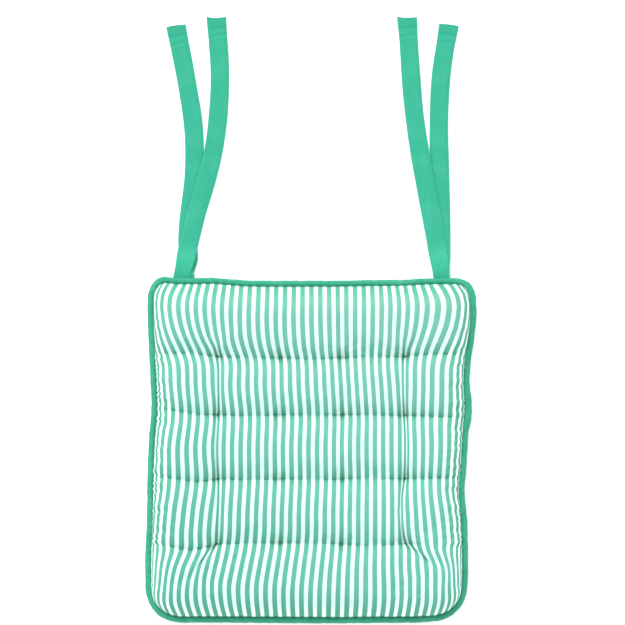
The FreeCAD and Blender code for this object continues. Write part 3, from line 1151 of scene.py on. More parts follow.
    def grid(self, name: str) -> tuple[bpy.types.Object, Lay]:
        """Lay out the cloth as a grid and set it in its sewn shape.

        Args:
            name: the piece's name.

        Returns:
            The piece, and where its vertices lie.
        """
        Bench.clear()
        columns, rows = sum(self.across_counts), sum(self.along_counts)
        bpy.ops.mesh.primitive_grid_add(x_subdivisions=columns, y_subdivisions=rows, size=1.0)
        piece = Bench.named(name)
        start = Bench.points(piece)
        column = np.rint((start[:, 0] + 0.5) * columns).astype(int)
        row = np.rint((start[:, 1] + 0.5) * rows).astype(int)
        across = self.stations(self.flat_width + self.side_cloth, self.column_lines, self.across_counts,
                               self.across_grading)[column]
        along = self.stations(self.flat_length + self.side_cloth, self.row_lines, self.along_counts, 0.0)[row]
        plan_x, lift_x = self.fold_over(across, self.flat_width)
        plan_y, lift_y = self.fold_over(along, self.flat_length)
        x, y = self.round_corners(plan_x, plan_y)
        lay = Lay(across, along, y)
        if self.face is Face.TOP:
            tuft = self.near_tuft(x, y, self.tuft_reach)
            valley = self.valley_height - (self.valley_height - self.tuft_height) * tuft
            top = self.bolsters(x, y, valley) - self.pinches(x, y)
            pucker = self.gathers(x, y, lift_x, lift_y)
            top = np.maximum(top + pucker, self.tuft_height)
            on_tuft = self.near_tuft(x, y, 1.0) > 0.9
            top[on_tuft] = self.tuft_height
            z = SEAM_HEIGHT + (top - SEAM_HEIGHT) * lift_x * lift_y
            z = np.minimum(z, self.crest + self.crest_room)
            x, y = self.sway(x, y)
            x = x + np.sign(x) * pucker * (1.0 - lift_x)
        else:
            low = self.base_rest + self.underside_pull * self.near_tuft(x, y, self.base_tuft_reach)
            z = SEAM_HEIGHT + (low - SEAM_HEIGHT) * (lift_x * lift_y) ** self.base_square
        Bench.place(piece, np.column_stack([x, y, z]) * MM)
        return piece, lay

    def mark_folds(self, piece: bpy.types.Object, lay: Lay, crispness: float) -> None:
        """Keep the valleys between the rolls, and the deep column folds, crisp when the cloth is rounded off.

        Args:
            piece: the cover's grid.
            lay: where its vertices lie.
            crispness: weight of the creases, from 0 to 1.
        """
        across, along = lay.across, lay.along
        mesh = piece.data
        crease = mesh.attributes.new("crease_edge", "FLOAT", "EDGE")
        ends = np.empty(len(mesh.edges) * 2, dtype=np.int32)
        mesh.edges.foreach_get("vertices", ends)
        first, second = ends[0::2], ends[1::2]
        weight = np.zeros(len(mesh.edges), dtype=np.float32)
        for line in self.row_lines:
            weight[(np.abs(along[first] - line) < 0.01) & (np.abs(along[second] - line) < 0.01)] = crispness
        for line in (self.column_lines[0], self.column_lines[-1]):
            on_line = (np.abs(across[first] - line) < 0.01) & (np.abs(across[second] - line) < 0.01)
            in_span = (along[first] > self.fold_span[0]) & (along[first] < self.fold_span[1])
            weight[on_line & in_span] = crispness
        crease.data.foreach_set("value", weight)

    def grip(self, points: np.ndarray, lay: Lay) -> np.ndarray:
        """Tell how firmly each vertex is held while the cover fills out.

        Args:
            points: the cover's vertices, in millimetres.
            lay: where they lie.

        Returns:
            The hold on each vertex, from 0 to 1.
        """
        across, along = lay.across, lay.along
        rows = sum(np.exp(-(along - line) ** 2) for line in self.row_lines)
        columns = sum(0.5 * np.exp(-(np.abs(across - line) / 2.0) ** 2)
                      for line, fold in zip(self.column_lines, self.column_folds) if fold > self.long_fold)
        in_span = (along > self.fold_span[0]) & (along < self.fold_span[1])
        hold = 0.06 + 0.75 * rows + columns * in_span
        on_tuft = self.near_tuft(points[:, 0], points[:, 1], 1.0) > math.exp(-3.8)
        on_seam = (np.abs(across) > self.flat_width + self.side_cloth - 0.01) | \
                  (np.abs(along) > self.flat_length + self.side_cloth - 0.01)
        hold[on_tuft | on_seam] = 1.0
        return np.clip(hold, 0.0, 1.0)

    def fill_out(self, piece: bpy.types.Object, lay: Lay) -> None:
        """Blow the cover up by the filling's pressure, held at the seam, the tufts and the drawn-in rows.

        Args:
            piece: the cover's grid.
            lay: where its vertices lie.
        """
        start = Bench.points(piece)
        hold = self.grip(start / MM, lay)
        pins = piece.vertex_groups.new(name="held")
        levels = 20
        for step in range(levels + 1):
            members = np.nonzero(np.rint(hold * levels).astype(int) == step)[0]
            if len(members):
                pins.add([int(m) for m in members], step / levels, "REPLACE")
        Bench.pick(piece)
        bpy.ops.object.modifier_add(type="CLOTH")
        cloth = piece.modifiers[-1]
        made = cloth.settings
        made.quality = 6
        made.mass = 0.12
        made.air_damping = 3.0
        made.tension_stiffness = 20.0
        made.compression_stiffness = 12.0
        made.shear_stiffness = 6.0
        made.bending_stiffness = 0.25
        made.use_pressure = True
        made.uniform_pressure_force = 2.2
        made.shrink_min = -0.03
        made.vertex_group_mass = "held"
        made.pin_stiffness = 1.2
        made.effector_weights.gravity = 0.0
        cloth.point_cache.frame_start = 1
        cloth.point_cache.frame_end = self.settle_steps
        for step in range(1, self.settle_steps + 1):
            bpy.context.scene.frame_set(step)
        bpy.ops.object.modifier_apply(modifier=cloth.name)
        bpy.context.scene.frame_set(1)
        piece.vertex_groups.clear()
        shift = Bench.points(piece) - start
        shift[:, :2] *= self.side_give
        length = np.linalg.norm(shift, axis=1)
        LOG.info("cover settled: largest move %.1f mm, mean %.2f mm", length.max() / MM, length.mean() / MM)
        most = self.most_move * MM
        keep = np.where(length > most, most / np.maximum(length, 1e-9), 1.0)
        settled = start + shift * keep[:, None]
        over = (settled[:, 2] / MM - self.soft_from) / self.soft_room
        limited = (self.soft_from + self.soft_room * np.tanh(over)) * MM
        settled[:, 2] = np.where(over > 0, limited, settled[:, 2])
        Bench.place(piece, settled)

    def map_stripes(self, piece: bpy.types.Object, lay: Lay) -> None:
        """Lay the cloth map so that the stripes run along the pad and drift with the tufting.

        Args:
            piece: the cover, still in its sewn shape.
            lay: where its vertices lie.
        """
        points = Bench.points(piece)
        x, y = points[:, 0] / MM, points[:, 1] / MM
        side = np.sign(lay.across)
        flat_edge, _ = self.sway(side * self.flat_width, lay.plan_y)
        inner = np.where(np.abs(lay.across) < self.flat_width, x, flat_edge)
        beyond = side * np.maximum(np.abs(lay.across) - self.flat_width, 0.0)
        folds = (lay.across - self.column_lines[0], lay.across - self.column_lines[-1])
        count = StripeRun().count(inner, y, folds) + beyond / STRIPE_PITCH
        Bench.lay_map(piece, count * STRIPE_PITCH * MM, lay.along * MM)

    def pucker_sides(self, piece: bpy.types.Object) -> None:
        """Draw the cloth into small sharp puckers just above the seam along both sides of the pad.

        Args:
            piece: the cover, rounded off.
        """
        points = Bench.points(piece)
        x, y, z = points.T / MM
        depth = np.where(x < 0, x + self.seam_edge - self.outline.play(self.outline.left_play, y),
                         self.seam_edge + self.outline.play(self.outline.right_play, y) - x)
        wall = ease(z, 15.3, 18.5) * (1.0 - ease(z, 24.0, 34.0)) * (1.0 - ease(depth, 9.0, 17.0))
        phase = 2 * math.pi * y / self.pucker_pitch + 2.2 * np.sin(y / 12.0 + np.sign(x)) \
            + 1.4 * np.sin(y / 5.3 + 0.6)
        wave = np.arcsin(np.sin(phase + 0.12 * z * np.sign(y))) * 2 / math.pi
        spots = np.where(x[:, None] < 0, self.left_puckers, self.right_puckers)
        from_spot = np.min(np.abs(y[:, None] - spots), axis=1)
        bunch = self.pucker_calm + (1.0 - self.pucker_calm) * np.exp(-from_spot / self.pucker_reach)
        span = 0.06 + 0.94 * ease(y, -124.0, -108.0) * (1.0 - ease(y, 112.0, 128.0))
        draw = wave * wall * bunch * span
        points[:, 0] += np.sign(x) * MM * draw
        points[:, 2] += self.pucker_lift * MM * draw
        Bench.place(piece, points)
        layer = piece.data.uv_layers[0].data
        cloth = np.empty(len(layer) * 2, dtype=np.float32)
        layer.foreach_get("uv", cloth)
        cloth[0::2] += (self.pucker_slide * MM * draw)[Bench.loop_owners(piece)]
        layer.foreach_set("uv", cloth)

    def wall_up(self, piece: bpy.types.Object) -> None:
        """Give the cloth its thickness, inwards."""
        Bench.modify(piece, "SOLIDIFY", thickness=self.wall * MM, offset=-1.0, use_even_offset=False)


@dataclass
class Cushion:
    """The two covers and the filling between them."""

    outline: Outline

    def build(self) -> list[bpy.types.Object]:
        """Make and dress the covers and the filling.

        Returns:
            The top cover, the bottom cover and the filling.
        """
        top_plan = Cover(self.outline, Face.TOP)
        top, lay = top_plan.grid("top_cover")
        top_plan.map_stripes(top, lay)
        top_plan.fill_out(top, lay)
        self.outline.relax(top)
        base_plan = Cover(self.outline, Face.BOTTOM, side_run=16.0, side_cloth=23.0)
        base, base_lay = base_plan.grid("bottom_cover")
        Bench.lay_map(base, base_lay.across * MM, base_lay.along * MM)
        self.outline.relax(base)
        Bench.turn_over(base)
        fill = self.stuff(top, base)
        top_plan.mark_folds(top, lay, 0.75)
        Bench.subdivide_surface(top)
        top_plan.pucker_sides(top)
        top_plan.wall_up(top)
        base_plan.wall_up(base)
        for cover in (top, base):
            Bench.smooth(cover, 80.0)
        Bench.finish(top, StripedWeave().make(), "striped_cotton")
        natural = PlainWeave("backing_cotton_cloth", (0.72, 0.75, 0.71), (0.58, 0.61, 0.57),
                             (0.8, 0.82, 0.79), pitch=0.6, cross_pitch=0.6)
        Bench.finish(base, natural.make(), "backing_cotton")
        fibre = Fibre("polyester_fibre", (0.9, 0.9, 0.89), (0.74, 0.74, 0.73))
        Bench.finish(fill, fibre.make(), "polyester_fill")
        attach(top, Body.PAD.value)
        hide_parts("top_panel")
        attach(base, Body.PAD.value)
        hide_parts("bottom_panel")
        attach(fill, Body.PAD.value)
        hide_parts("fibre_fill")
        return [top, base, fill]

    def stuff(self, top: bpy.types.Object, base: bpy.types.Object) -> bpy.types.Object:
        """Make the filling as one closed form just inside both covers.

        Args:
            top: the top cover before it has a thickness.
            base: the bottom cover, likewise.

        Returns:
            The filling.
        """
        Bench.clear()
        top.select_set(True)
        base.select_set(True)
        bpy.context.view_layer.objects.active = top
        bpy.ops.object.duplicate()
        bpy.ops.object.join()
        fill = Bench.named("fibre_fill_body")
        while fill.data.uv_layers:
            fill.data.uv_layers.remove(fill.data.uv_layers[0])
        normals = np.array([v.normal[:] for v in fill.data.vertices])
        Bench.place(fill, Bench.points(fill) - normals * 1.3 * MM)
        bpy.ops.object.mode_set(mode="EDIT")
        bpy.ops.mesh.select_all(action="DESELECT")
        bpy.ops.mesh.select_mode(type="EDGE")
        bpy.ops.mesh.select_non_manifold()
        bpy.ops.mesh.bridge_edge_loops()
        bpy.ops.object.mode_set(mode="OBJECT")
        Bench.outward(fill)
        Bench.smooth(fill, 70.0)
        return fill


# --------------------------------------------------------------------------------------------- the piping


@dataclass
class Piping:
    """Bias-cut piping round the edge, with its cord, its flange in the seam and the seam's thread."""

    outline: Outline
    radius: float = 3.0
    wall: float = 0.6
    flange: float = 9.0
    steps: int = 1200
    join_y: float = 31.6
    join_slant: float = 14.6
    strip_length: float = 1505.4
    wave_length: float = 1500.0
    side_press: float = 0.9
    join_swell: float = 0.9
    lap_rise: float = 0.6
    groove: float = 0.35
    cord_play: float = 0.4
    thread: float = 0.25
    thread_inset: float = 7.55
    thread_offset: float = 1.55

    def ring(self, name: str, radius: float, steps: int, sides: int) -> bpy.types.Object:
        """Make a round ring of 1 m radius, to be bent round the outline.

        Args:
            name: the ring's name.
            radius: radius of its section, in millimetres.
            steps: steps round the ring.
            sides: sides of its section.

        Returns:
            The ring.
        """
        Bench.clear()
        bpy.ops.mesh.primitive_torus_add(major_radius=1.0, minor_radius=radius * MM, major_segments=steps,
                                         minor_segments=sides, generate_uvs=False)
        return Bench.named(name)

    def settle(self, piece: bpy.types.Object, share: np.ndarray, out: np.ndarray) -> None:
        """Let the piping lie a little unevenly, and pressed flatter along the pad's sides.

        Args:
            piece: the part of the piping, in its place.
            share: each vertex's share of the way round.
            out: its distance outside the centre line, in metres.
        """
        _, ray = self.outline.trace(share, self.radius)
        run = share * self.wave_length
        flat = ease(np.abs(ray[:, 0]), 0.6, 1.0)
        full = ease(run, self.join_y - 12.0, self.join_y + 1.0) \
            * (1.0 - ease(run, self.join_y + 12.0, self.join_y + 60.0))
        move = 0.12 * out + flat * (0.22 * out - self.side_press * MM) \
            + full * (0.12 * out + self.join_swell * MM)
        points = Bench.points(piece)
        points[:, :2] += ray * move[:, None]
        points[:, 2] += MM * (0.45 * np.sin(run / 21.0) + 0.3 * np.sin(run / 9.0 + 1.3))
        Bench.place(piece, points)

    def cover(self) -> bpy.types.Object:
        """Make the piping's cover, with a turned-over join at the right side and fine wrinkles.

        Returns:
            The cover.
        """
        piece = self.ring("piping_cover_strip", self.radius, self.steps, 16)
        Bench.pick(piece)
        bpy.ops.object.mode_set(mode="EDIT")
        bpy.ops.mesh.select_all(action="DESELECT")
        shell = bmesh.from_edit_mesh(piece.data)
        limit = 1.0 - self.radius * MM * 0.93
        for side in shell.faces:
            middle = side.calc_center_median()
            side.select_set(math.hypot(middle.x, middle.y) < limit)
        bmesh.update_edit_mesh(piece.data)
        bpy.ops.mesh.extrude_region_move()
        shrink = 1.0 - self.flange * MM
        bpy.ops.transform.resize(value=(shrink, shrink, 1.0), center_override=(0, 0, 0))
        bpy.ops.object.mode_set(mode="OBJECT")
        points = Bench.points(piece)
        share, out = self.outline.wrap(piece, self.radius, SEAM_HEIGHT)
        around = np.arctan2(points[:, 2], out)
        run = share * self.strip_length
        on_tube = out > -self.radius * MM * 1.02
        wrinkle = 0.16 * np.sin(run / 2.3 + 2.0 * around) + 0.14 * np.sin(run / 4.9 - around + 1.0) \
            + 0.1 * np.sin(run / 1.45 + 3.0 * around)
        lap_at = self.join_y - self.join_slant * np.abs(around) / math.pi
        lap = ease(run, lap_at - 0.9, lap_at + 0.9) * (1.0 - ease(run, lap_at + 15.0, lap_at + 50.0))
        groove = np.exp(-((run - lap_at + 1.0) / 1.1) ** 2)
        swell = np.where(on_tube, wrinkle + self.lap_rise * lap - self.groove * groove, 0.0)
        _, ray = self.outline.trace(share, self.radius)
        bent = Bench.points(piece)
        spoke = np.column_stack([ray * np.cos(around)[:, None], np.sin(around)])
        bent += spoke * (swell * MM)[:, None]
        Bench.place(piece, bent)
        self.settle(piece, share, np.where(on_tube, out, 0.0))
        self.outline.relax(piece)
        Bench.lay_map(piece, run * MM, around * self.radius * MM + np.where(on_tube, 0.0, out))
        Bench.outward(piece)
        Bench.smooth(piece, 60.0)
        lit = PlainWeave("piping_cotton_cloth", (0.05, 0.37, 0.235), (0.024, 0.275, 0.16), (0.1, 0.45, 0.32),
                         turn=45.0, pitch=0.5, cross_pitch=0.5, relief=0.1,
                         join_at=self.join_y, join_slant=self.join_slant / (math.pi * self.radius))
        Bench.finish(piece, lit.make(), "piping_cotton")
        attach(piece, Body.PAD.value)
        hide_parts("piping_cover")
        return piece

    def core(self) -> bpy.types.Object:
        """Make the soft cotton cord inside the piping.

        Returns:
            The cord.
        """
        piece = self.ring("piping_cord_core", self.radius - self.wall - self.cord_play, self.steps // 2, 10)
        share, out = self.outline.wrap(piece, self.radius, SEAM_HEIGHT)
        self.settle(piece, share, out)
        self.outline.relax(piece)
        Bench.smooth(piece, 60.0)
        Bench.finish(piece, Fibre("piping_cord_cotton", (0.85, 0.84, 0.8), (0.66, 0.64, 0.58), 900.0).make(),
                     "cotton_cord")
        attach(piece, Body.PAD.value)
        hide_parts("piping_cord")
        return piece

    def seam(self) -> bpy.types.Object:
        """Make the needle and bobbin threads of the edge seam, as fine rows round the pad.

        Returns:
            Both threads, as one piece.
        """
        rows = []
        for name, side in (("seam_thread_rows", 1), ("seam_thread_bobbin", -1)):
            row = self.ring(name, self.thread, self.steps // 2, 6)
            self.outline.wrap(row, self.thread_inset, SEAM_HEIGHT + side * self.thread_offset)
            rows.append(row)
        Bench.pick(rows[0])
        rows[1].select_set(True)
        bpy.ops.object.join()
        piece = rows[0]
        self.outline.relax(piece)
        Bench.smooth(piece, 60.0)
        Bench.finish(piece, SEWING_THREAD.make(), "sewing_thread")
        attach(piece, Body.PAD.value)
        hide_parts("seam_thread")
        return piece

    def build(self) -> list[bpy.types.Object]:
        """Make and dress the piping, its cord and its seam."""
        return [self.cover(), self.core(), self.seam()]


# ---------------------------------------------------------------------------------------------- the tufts


@dataclass
class Tufting:
    """Sixteen stitched tacks, each with its thread through the pad and a flat tack at both ends."""

    rows: int = 4
    columns: int = 4
    top_height: float = 25.0
    base_height: float = 2.2
    strand: float = 0.5
    loop: float = 2.1
    shank: float = 0.65
    waist: float = 13.5

    def tack(self) -> bpy.types.Object:
        """Model one tuft about the origin: a small crossed tack above and below, joined by a thread.

        Returns:
            The tuft.
        """
        parts = []
        for height, flip in ((self.top_height, 1.0), (self.base_height, -1.0)):
            for turn, shift in ((38.0, -0.3), (-38.0, 0.3), (8.0, 0.0)):
                Bench.clear()
                bpy.ops.mesh.primitive_torus_add(major_radius=self.loop * MM, minor_radius=self.strand * MM,
                                                 major_segments=22, minor_segments=8, generate_uvs=False)
                loop = Bench.named("tuft_loop")
                points = Bench.points(loop)
                x, y, z = points[:, 0], points[:, 1] * 0.24, points[:, 2]
                z = z + flip * 0.35 * MM * np.cos(np.clip(x / (2.6 * MM), -1, 1) * math.pi / 2)
                angle = math.radians(turn)
                spun = np.column_stack([x * math.cos(angle) - y * math.sin(angle),
                                        x * math.sin(angle) + y * math.cos(angle) + shift * MM * 0.4,
                                        z + height * MM])
                Bench.place(loop, spun)
                parts.append(loop)
        Bench.clear()
        length = self.top_height - self.base_height
        bpy.ops.mesh.primitive_cylinder_add(vertices=10, radius=self.shank * MM, depth=length * MM,
                                            location=(0, 0, (self.base_height + length / 2) * MM))
        Bench.named("tuft_shank")
        bpy.ops.object.transform_apply(location=True, rotation=True, scale=True)
        bpy.ops.object.mode_set(mode="EDIT")
        bpy.ops.mesh.select_all(action="SELECT")
        bpy.ops.mesh.bisect(plane_co=(0, 0, self.waist * MM), plane_no=(0, 0, 1))
        bpy.ops.transform.resize(value=(1.25, 1.25, 1.0), center_override=(0, 0, self.waist * MM))
        bpy.ops.object.mode_set(mode="OBJECT")
        for part in parts:
            part.select_set(True)
        bpy.context.view_layer.objects.active = parts[0]
        bpy.ops.object.join()
        tack = Bench.named("tuft_model")
        Bench.outward(tack)
        Bench.smooth(tack, 50.0)
        return tack

    def build(self) -> list[bpy.types.Object]:
        """Copy the tuft to all sixteen places and dress each copy.

        Returns:
            The tufts.
        """
        model = self.tack()
        material = SpunThread("tuft_thread_cotton", (0.085, 0.43, 0.29), (0.03, 0.27, 0.16)).make()
        shape = Bench.points(model)
        made = []
        for row in range(1, self.rows + 1):
            for column in range(1, self.columns + 1):
                node = f"tuft_r{row}_c{column}"
                low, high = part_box(node)
                middle = np.array([(low[0] + high[0]) / 2, (low[1] + high[1]) / 2])
                Bench.pick(model)
                bpy.ops.object.duplicate()
                piece = Bench.named(f"tuft_stitch_r{row}_c{column}")
                angle = math.radians(17.0 * ((row * 5 + column * 3) % 7 - 3))
                turned = shape.copy()
                turned[:, 0] = shape[:, 0] * math.cos(angle) - shape[:, 1] * math.sin(angle) + middle[0]
                turned[:, 1] = shape[:, 0] * math.sin(angle) + shape[:, 1] * math.cos(angle) + middle[1]
                Bench.place(piece, turned)
                Bench.finish(piece, material, "tuft_thread")
                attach(piece, Body.PAD.value)
                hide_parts(node)
                made.append(piece)
        bpy.data.objects.remove(model)
        return made


# ------------------------------------------------------------------------------------------------ the ties


@dataclass
class Tie:
    """One flat folded tie, sewn into the back seam, with a stitched edge and a hem at its free end."""

    side: str
    level: str
    root_x: float
    reach: float
    wander: list[tuple[float, float]]
    under: "Tie | None" = None
    width: float = 22.0
    thickness: float = 1.0
    gap: float = 0.3
    hinge_y: float = 204.0
    hinge_z: float = 10.75
    hem: float = 11.0
    root_shift: float = 0.0
    droop: float = 0.0
    slant: float = 0.0
    ears: float = 0.0
    seam_y: float = 200.0
    sewn_from: float = 184.0
    root_width: float = 0.86
    edge_round: float = 0.42
    swell: float = 0.16
    flare: float = 0.05
    hem_rise: float = 0.45
    row_inset: float = 2.2
    stitch_pitch: float = 3.1
    hem_stitch_pitch: float = 3.24
    fold_stops: tuple[float, ...] = (184.0, 188.0, 192.3, 193.9, 195.6, 198.5, 201.0, 202.7, 203.2, 203.6,
                                     204.0, 204.4, 204.8, 205.3, 206.0, 208.0, 210.5)

    @property
    def node(self) -> str:
        """Name of the tie's node."""
        return f"tie_{self.side}_{self.level}"

    @property
    def split_y(self) -> float:
        """Distance back at which the sewn end stops and the free band starts."""
        return self.hinge_y - (0.1 if self.level == "upper" else 1.3)

    @property
    def base(self) -> float:
        """Height of the underside at the hinge."""
        half = self.gap / 2
        return self.hinge_z + half if self.level == "upper" else self.hinge_z - half - self.thickness

    @property
    def bodies(self) -> tuple[Body, Body]:
        """The body that carries this tie's fold, and the tie's own body."""
        lower = Body(f"{self.side}_lower_tie")
        return (lower, Body(f"{self.side}_upper_tie")) if self.level == "upper" else (Body.PAD, lower)

    def line_x(self, y: np.ndarray) -> np.ndarray:
        """Follow the tie's centre line on a smooth curve.

        Args:
            y: distances back, in millimetres.

        Returns:
            The centre line's place across the pad at each of them.
        """
        stops = np.array([self.seam_y] + [self.hinge_y + share * self.reach for share, _ in self.wander])
        places = np.array([self.root_x] + [self.root_x + offset for _, offset in self.wander])
        slopes = np.gradient(places, stops)
        slopes[0] = (places[1] - places[0]) / (stops[1] - stops[0]) * 0.9
        curve = smooth_curve(y, stops, places, slopes)
        shift = self.root_shift * (1.0 - ease(y, 204.0, 226.0))
        return np.where(y <= self.seam_y, self.root_x, curve) + shift

    def level_at(self, y: np.ndarray) -> np.ndarray:
        """Follow the tie's underside from inside the seam down to the floor.

        Args:
            y: distances back, in millimetres.

        Returns:
            The height at each of them.
        """
        rise = 14.5 - (self.hinge_z + self.thickness + self.gap / 2)
        seam = rise * (1.0 - np.clip((y - 192.3) / 3.3, 0.0, 1.0))
        share = np.clip((y - self.hinge_y - 2.0) / 34.0, 0.0, 1.0)
        drop = (self.hinge_z - self.thickness - self.gap / 2) * share * share * (3 - 2 * share)
        return self.base + seam - drop

    def lay(self, points: np.ndarray) -> np.ndarray:
        """Carry points from a straight strip to the tie's place.

        Args:
            points: rows of offset across, distance back and height over the underside, in millimetres.

        Returns:
            Rows x, y, z in metres.
        """
        aside, y, up = points.T
        aside = aside * (self.root_width + (1.0 - self.root_width) * ease(y, 208.0, 232.0))
        step = 0.5
        slope = (self.line_x(y + step) - self.line_x(y - step)) / (2 * step)
        slope = np.where(y < 206.0, slope * ease(y, self.seam_y, 206.0), slope)
        size = np.sqrt(1.0 + slope ** 2)
        x = self.line_x(y) + aside / size
        back = y - aside * slope / size
        height = self.level_at(y)
        free = ease(y, 240.0, 275.0)
        seed = self.root_x * 0.37 + (2.0 if self.level == "upper" else 0.0)
        ripple = 0.28 * np.sin(y / 19.0 + seed) * (aside * 2 / self.width) \
            + 0.22 * np.sin(y / 31.0 + aside / 9.0 + seed)
        height = height + free * np.maximum(ripple + 0.35, 0.0)
        if self.under is not None:
            apart = np.abs(x - self.under.line_x(back))
            clear = ease(apart, 11.0, 21.0) * ease(y, 236.0, 262.0)
            height = height - (self.thickness + self.gap - 0.05) * clear
            height = height + free * (1.0 - clear) * 0.35
        near_root = ease(y, 206.0, 215.0) * (1.0 - ease(y, 230.0, 246.0))
        turned = self.droop * np.maximum(aside + 2.0, 0.0) * near_root
        height = np.maximum(height - turned, np.minimum(height, 0.06))
        return np.column_stack([x, back, height + up]) * MM

    def strip(self, name: str, first: float, last: float) -> bpy.types.Object:
        """Make a stretch of the folded strip: a cut grid, given its thickness and round folded edges.

        Args:
            name: the piece's name.
            first: distance back of its start, in millimetres.
            last: distance back of its end.

        Returns:
            The strip in its place.
        """
        free = last > self.hinge_y
        stops = {first, last, *(y for y in self.fold_stops if first <= y <= last)}
        if free:
            stops.update(np.linspace(213.0, last - 34.0, int((last - 247.0) / 3.2)))
            stops.update(np.linspace(last - 32.5, last, 26))
        stops = np.array(sorted(stops))
        Bench.clear()
        bpy.ops.mesh.primitive_grid_add(x_subdivisions=8, y_subdivisions=len(stops) - 1, size=1.0)
        piece = Bench.named(name)
        points = Bench.points(piece)
        row = np.rint((points[:, 1] + 0.5) * (len(stops) - 1)).astype(int)
        Bench.place(piece, np.column_stack([points[:, 0] * self.width, stops[row], points[:, 2]]))
        Bench.modify(piece, "SOLIDIFY", thickness=self.thickness, offset=1.0)
        Bench.pick(piece)
        bpy.ops.object.mode_set(mode="EDIT")
        bpy.ops.mesh.select_all(action="DESELECT")
        bpy.ops.mesh.select_mode(type="EDGE")
        shell = bmesh.from_edit_mesh(piece.data)
        for edge in shell.edges:
            one, two = edge.verts
            side = max(abs(abs(end.co.x) - self.width / 2) for end in (one, two)) < 1e-4
            level = abs(one.co.z - two.co.z) < 1e-4
            edge.select_set(side and level)
        bmesh.update_edit_mesh(piece.data)
        bpy.ops.mesh.bevel(offset=self.edge_round, segments=3)
        bpy.ops.object.mode_set(mode="OBJECT")
        Bench.outward(piece)
        flat = Bench.points(piece)
        flat[:, 2] -= flat[:, 2].min()
        tail = self.hinge_y + self.reach
        Bench.lay_map(piece, flat[:, 0] * MM, (tail - flat[:, 1]) * MM)
        back = tail - flat[:, 1]
        near_end = 1.0 - ease(back, 0.0, 26.0)
        crumple = 0.34 * np.sin(back / 1.25 + flat[:, 0] / 7.0) * np.exp(-((back - 21.0) / 5.5) ** 2)
        flat[:, 1] += flat[:, 0] * near_end * self.slant
        flat[:, 1] += self.ears * (1.0 - ease(back, 0.0, 9.0)) * ((flat[:, 0] * 2 / self.width) ** 2 - 0.3)
        flat[:, 0] *= 1.0 + self.flare * near_end
        edge_share = np.abs(flat[:, 0]) / (self.width / 2)
        flat[:, 0] *= 1.0 + 0.012 * np.sin(flat[:, 1] / 13.0 + self.root_x) * ease(flat[:, 1], 206.0, 230.0)
        swell = self.swell * (1.0 - edge_share ** 4) + np.maximum(crumple, -0.2)
        if free:
            swell += self.hem_rise * ease(flat[:, 1], last - self.hem - 0.5, last - self.hem + 0.3)
        flat[:, 2] += np.where(flat[:, 2] > self.thickness * 0.5, swell, 0.0)
        Bench.place(piece, self.lay(flat))
        Bench.smooth(piece, 45.0)
        return piece

    def stitching(self) -> bpy.types.Object:
        """Sew the edge row and the hem row: one modelled stitch, copied along both lines.

        Returns:
            The stitches, as one piece.
        """
        Bench.clear()
        bpy.ops.mesh.primitive_uv_sphere_add(segments=8, ring_count=6, radius=1.0)
        stitch = Bench.named(f"{self.node}_stitch_rows")
        bpy.ops.object.mode_set(mode="EDIT")
        bpy.ops.mesh.select_all(action="SELECT")
        bpy.ops.transform.resize(value=(0.27, 1.15, 0.2), center_override=(0, 0, 0))
        bpy.ops.object.mode_set(mode="OBJECT")
        one = Bench.points(stitch)
        end = self.hinge_y + self.reach
        rows = [(self.width / 2 - self.row_inset, y, False)
                for y in np.arange(207.5, end - self.hem - 2.0, self.stitch_pitch)]
        rows += [(x, end - self.hem - 0.1, True) for x in np.arange(-8.1, 8.2, self.hem_stitch_pitch)]
        flat = []
        for aside, y, crosswise in rows:
            across = one[:, 1] if crosswise else one[:, 0]
            along = one[:, 0] if crosswise else one[:, 1]
            flat.append(np.column_stack([aside + across, y + along, one[:, 2] + self.thickness + 0.14]))
        faces = [tuple(side.vertices) for side in stitch.data.polygons]
        every = [tuple(v + turn * len(one) for v in side) for turn in range(len(rows)) for side in faces]
        placed = self.lay(np.concatenate(flat))
        mesh = stitch.data
        mesh.clear_geometry()
        mesh.from_pydata([tuple(p) for p in placed], [], every)
        mesh.update()
        Bench.outward(stitch)
        Bench.smooth(stitch, 60.0)
        Bench.finish(stitch, SEWING_THREAD.make(), "sewing_thread")
        return stitch

    def fold(self, piece: bpy.types.Object) -> None:
        """Apply the piece's transform to its mesh.

        Args:
            piece: the piece that crosses the fold.
        """
        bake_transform(piece)

    def build(self, cloth: bpy.types.Material) -> list[bpy.types.Object]:
        """Make and dress the tie, its sewn end and its stitching.

        Args:
            cloth: the ties' material.

        Returns:
            The pieces made.
        """
        end = self.hinge_y + self.reach
        free = self.strip(f"{self.node}_band", self.split_y, end)
        sewn = self.strip(f"{self.node}_sewn_end", self.sewn_from, self.split_y)
        rows = self.stitching()
        Bench.finish(free, cloth, "tie_cotton")
        Bench.finish(sewn, cloth, "tie_cotton")
        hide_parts(self.node)
        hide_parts(f"{self.node}_root")
        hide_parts(f"{self.node}_stitching")
        self.fold(free)
        self.fold(rows)
        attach(sewn, Body.PAD.value)
        return [free, sewn, rows]


# ----------------------------------------------------------------------------------------------- the studio


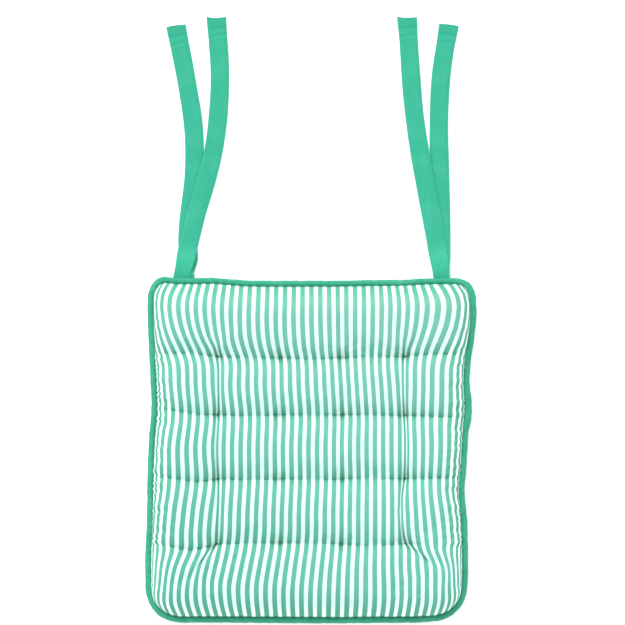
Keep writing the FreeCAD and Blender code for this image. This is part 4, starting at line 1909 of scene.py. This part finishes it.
@dataclass
class Studio:
    """A plain pale floor, soft light from behind and above, and a camera straight above the pad."""

    look_x: float = 0.0059
    look_y: float = 0.161
    camera_height: float = 5.0
    frame_size: float = 0.731
    ambient: float = 1.06
    sun: float = 2.35
    sun_tilt: tuple[float, float] = (-48.0, 20.0)

    def camera(self) -> None:
        """Set the camera straight above."""
        Bench.clear()
        bpy.ops.object.camera_add(location=(self.look_x, self.look_y, self.camera_height), rotation=(0, 0, 0))
        camera = Bench.named("studio_camera")
        camera.data.type = "ORTHO"
        camera.data.ortho_scale = self.frame_size
        camera.data.clip_end = 20.0
        bpy.context.scene.camera = camera

    def lights(self) -> None:
        """Set an even white surround and one broad soft light."""
        world = bpy.data.worlds.new("studio_surround")
        world.use_nodes = True
        surround = world.node_tree.nodes["Background"]
        surround.inputs["Color"].default_value = (1.0, 1.0, 1.0, 1.0)
        surround.inputs["Strength"].default_value = self.ambient
        bpy.context.scene.world = world
        Bench.clear()
        tilt, turn = (math.radians(angle) for angle in self.sun_tilt)
        bpy.ops.object.light_add(type="SUN", location=(0.0, 1.5, 1.8), rotation=(tilt, 0.0, turn))
        lamp = Bench.named("studio_softbox")
        lamp.data.energy = self.sun
        lamp.data.angle = math.radians(35.0)

    def floor(self) -> bpy.types.Object:
        """Lay the floor as one wide sheet just under the pad.

        Returns:
            The floor.
        """
        Bench.clear()
        bpy.ops.mesh.primitive_plane_add(size=14.0, location=(0.0, 0.16, -0.0002))
        floor = Bench.named("floor")
        bpy.ops.object.transform_apply(location=True, rotation=True, scale=True)
        recipe = Recipe("pale_floor", 0.9, 0.0, (1.0, 1.0, 1.0))
        spot = recipe.space_place()
        recipe.colour(recipe.mix(recipe.noise(spot, 3.0), (0.95, 0.95, 0.95), (0.97, 0.97, 0.97)))
        recipe.shader.inputs["Emission Color"].default_value = (1.0, 1.0, 1.0, 1.0)
        recipe.shader.inputs["Emission Strength"].default_value = 0.22
        floor.data.materials.append(recipe.material)
        return floor

    def build(self) -> None:
        """Set up the studio."""
        bpy.context.scene.view_settings.view_transform = "Standard"
        self.camera()
        self.lights()
        self.floor()


def ties() -> list[Tie]:
    """Set out the two pairs of ties, one on the other where they leave the seam.

    Returns:
        The ties, both lower ones first.
    """
    left = Tie("left", "lower", -135.0, 293.0,
               [(0.12, -5.0), (0.42, 2.5), (0.58, 2.0), (0.78, -6.5), (1.0, -19.0)],
               root_shift=-6.5, droop=0.75, slant=0.04)
    right = Tie("right", "lower", 157.0, 294.0,
                [(0.35, -1.5), (0.6, -3.3), (0.8, -0.5), (1.0, 8.5)], slant=-0.04)
    over_left = Tie("left", "upper", -148.0, 302.0,
                    [(0.2, 15.0), (0.5, 39.0), (0.76, 45.6), (1.0, 41.5)], left, ears=1.5)
    over_right = Tie("right", "upper", 157.0, 302.0,
                     [(0.16, -8.0), (0.35, -19.0), (0.6, -31.0), (1.0, -40.6)], right, slant=-0.04, ears=0.6)
    return [left, right, over_left, over_right]


def main() -> None:
    """Build the pad, piece by piece."""
    logging.basicConfig(level=logging.INFO, format="%(message)s")
    Studio().build()
    outline = Outline()
    pieces = Cushion(outline).build()
    pieces += Piping(outline).build()
    pieces += Tufting().build()
    cloth = TIE_CLOTH.make()
    for tie in ties():
        pieces += tie.build(cloth)
    for piece in pieces:
        corners = np.array([piece.matrix_world @ v.co for v in piece.data.vertices])
        LOG.info("%-28s %6d faces  low %s  high %s", piece.name, len(piece.data.polygons),
                 np.round(corners.min(0) / MM, 1), np.round(corners.max(0) / MM, 1))


if __name__ == "__main__":
    main()
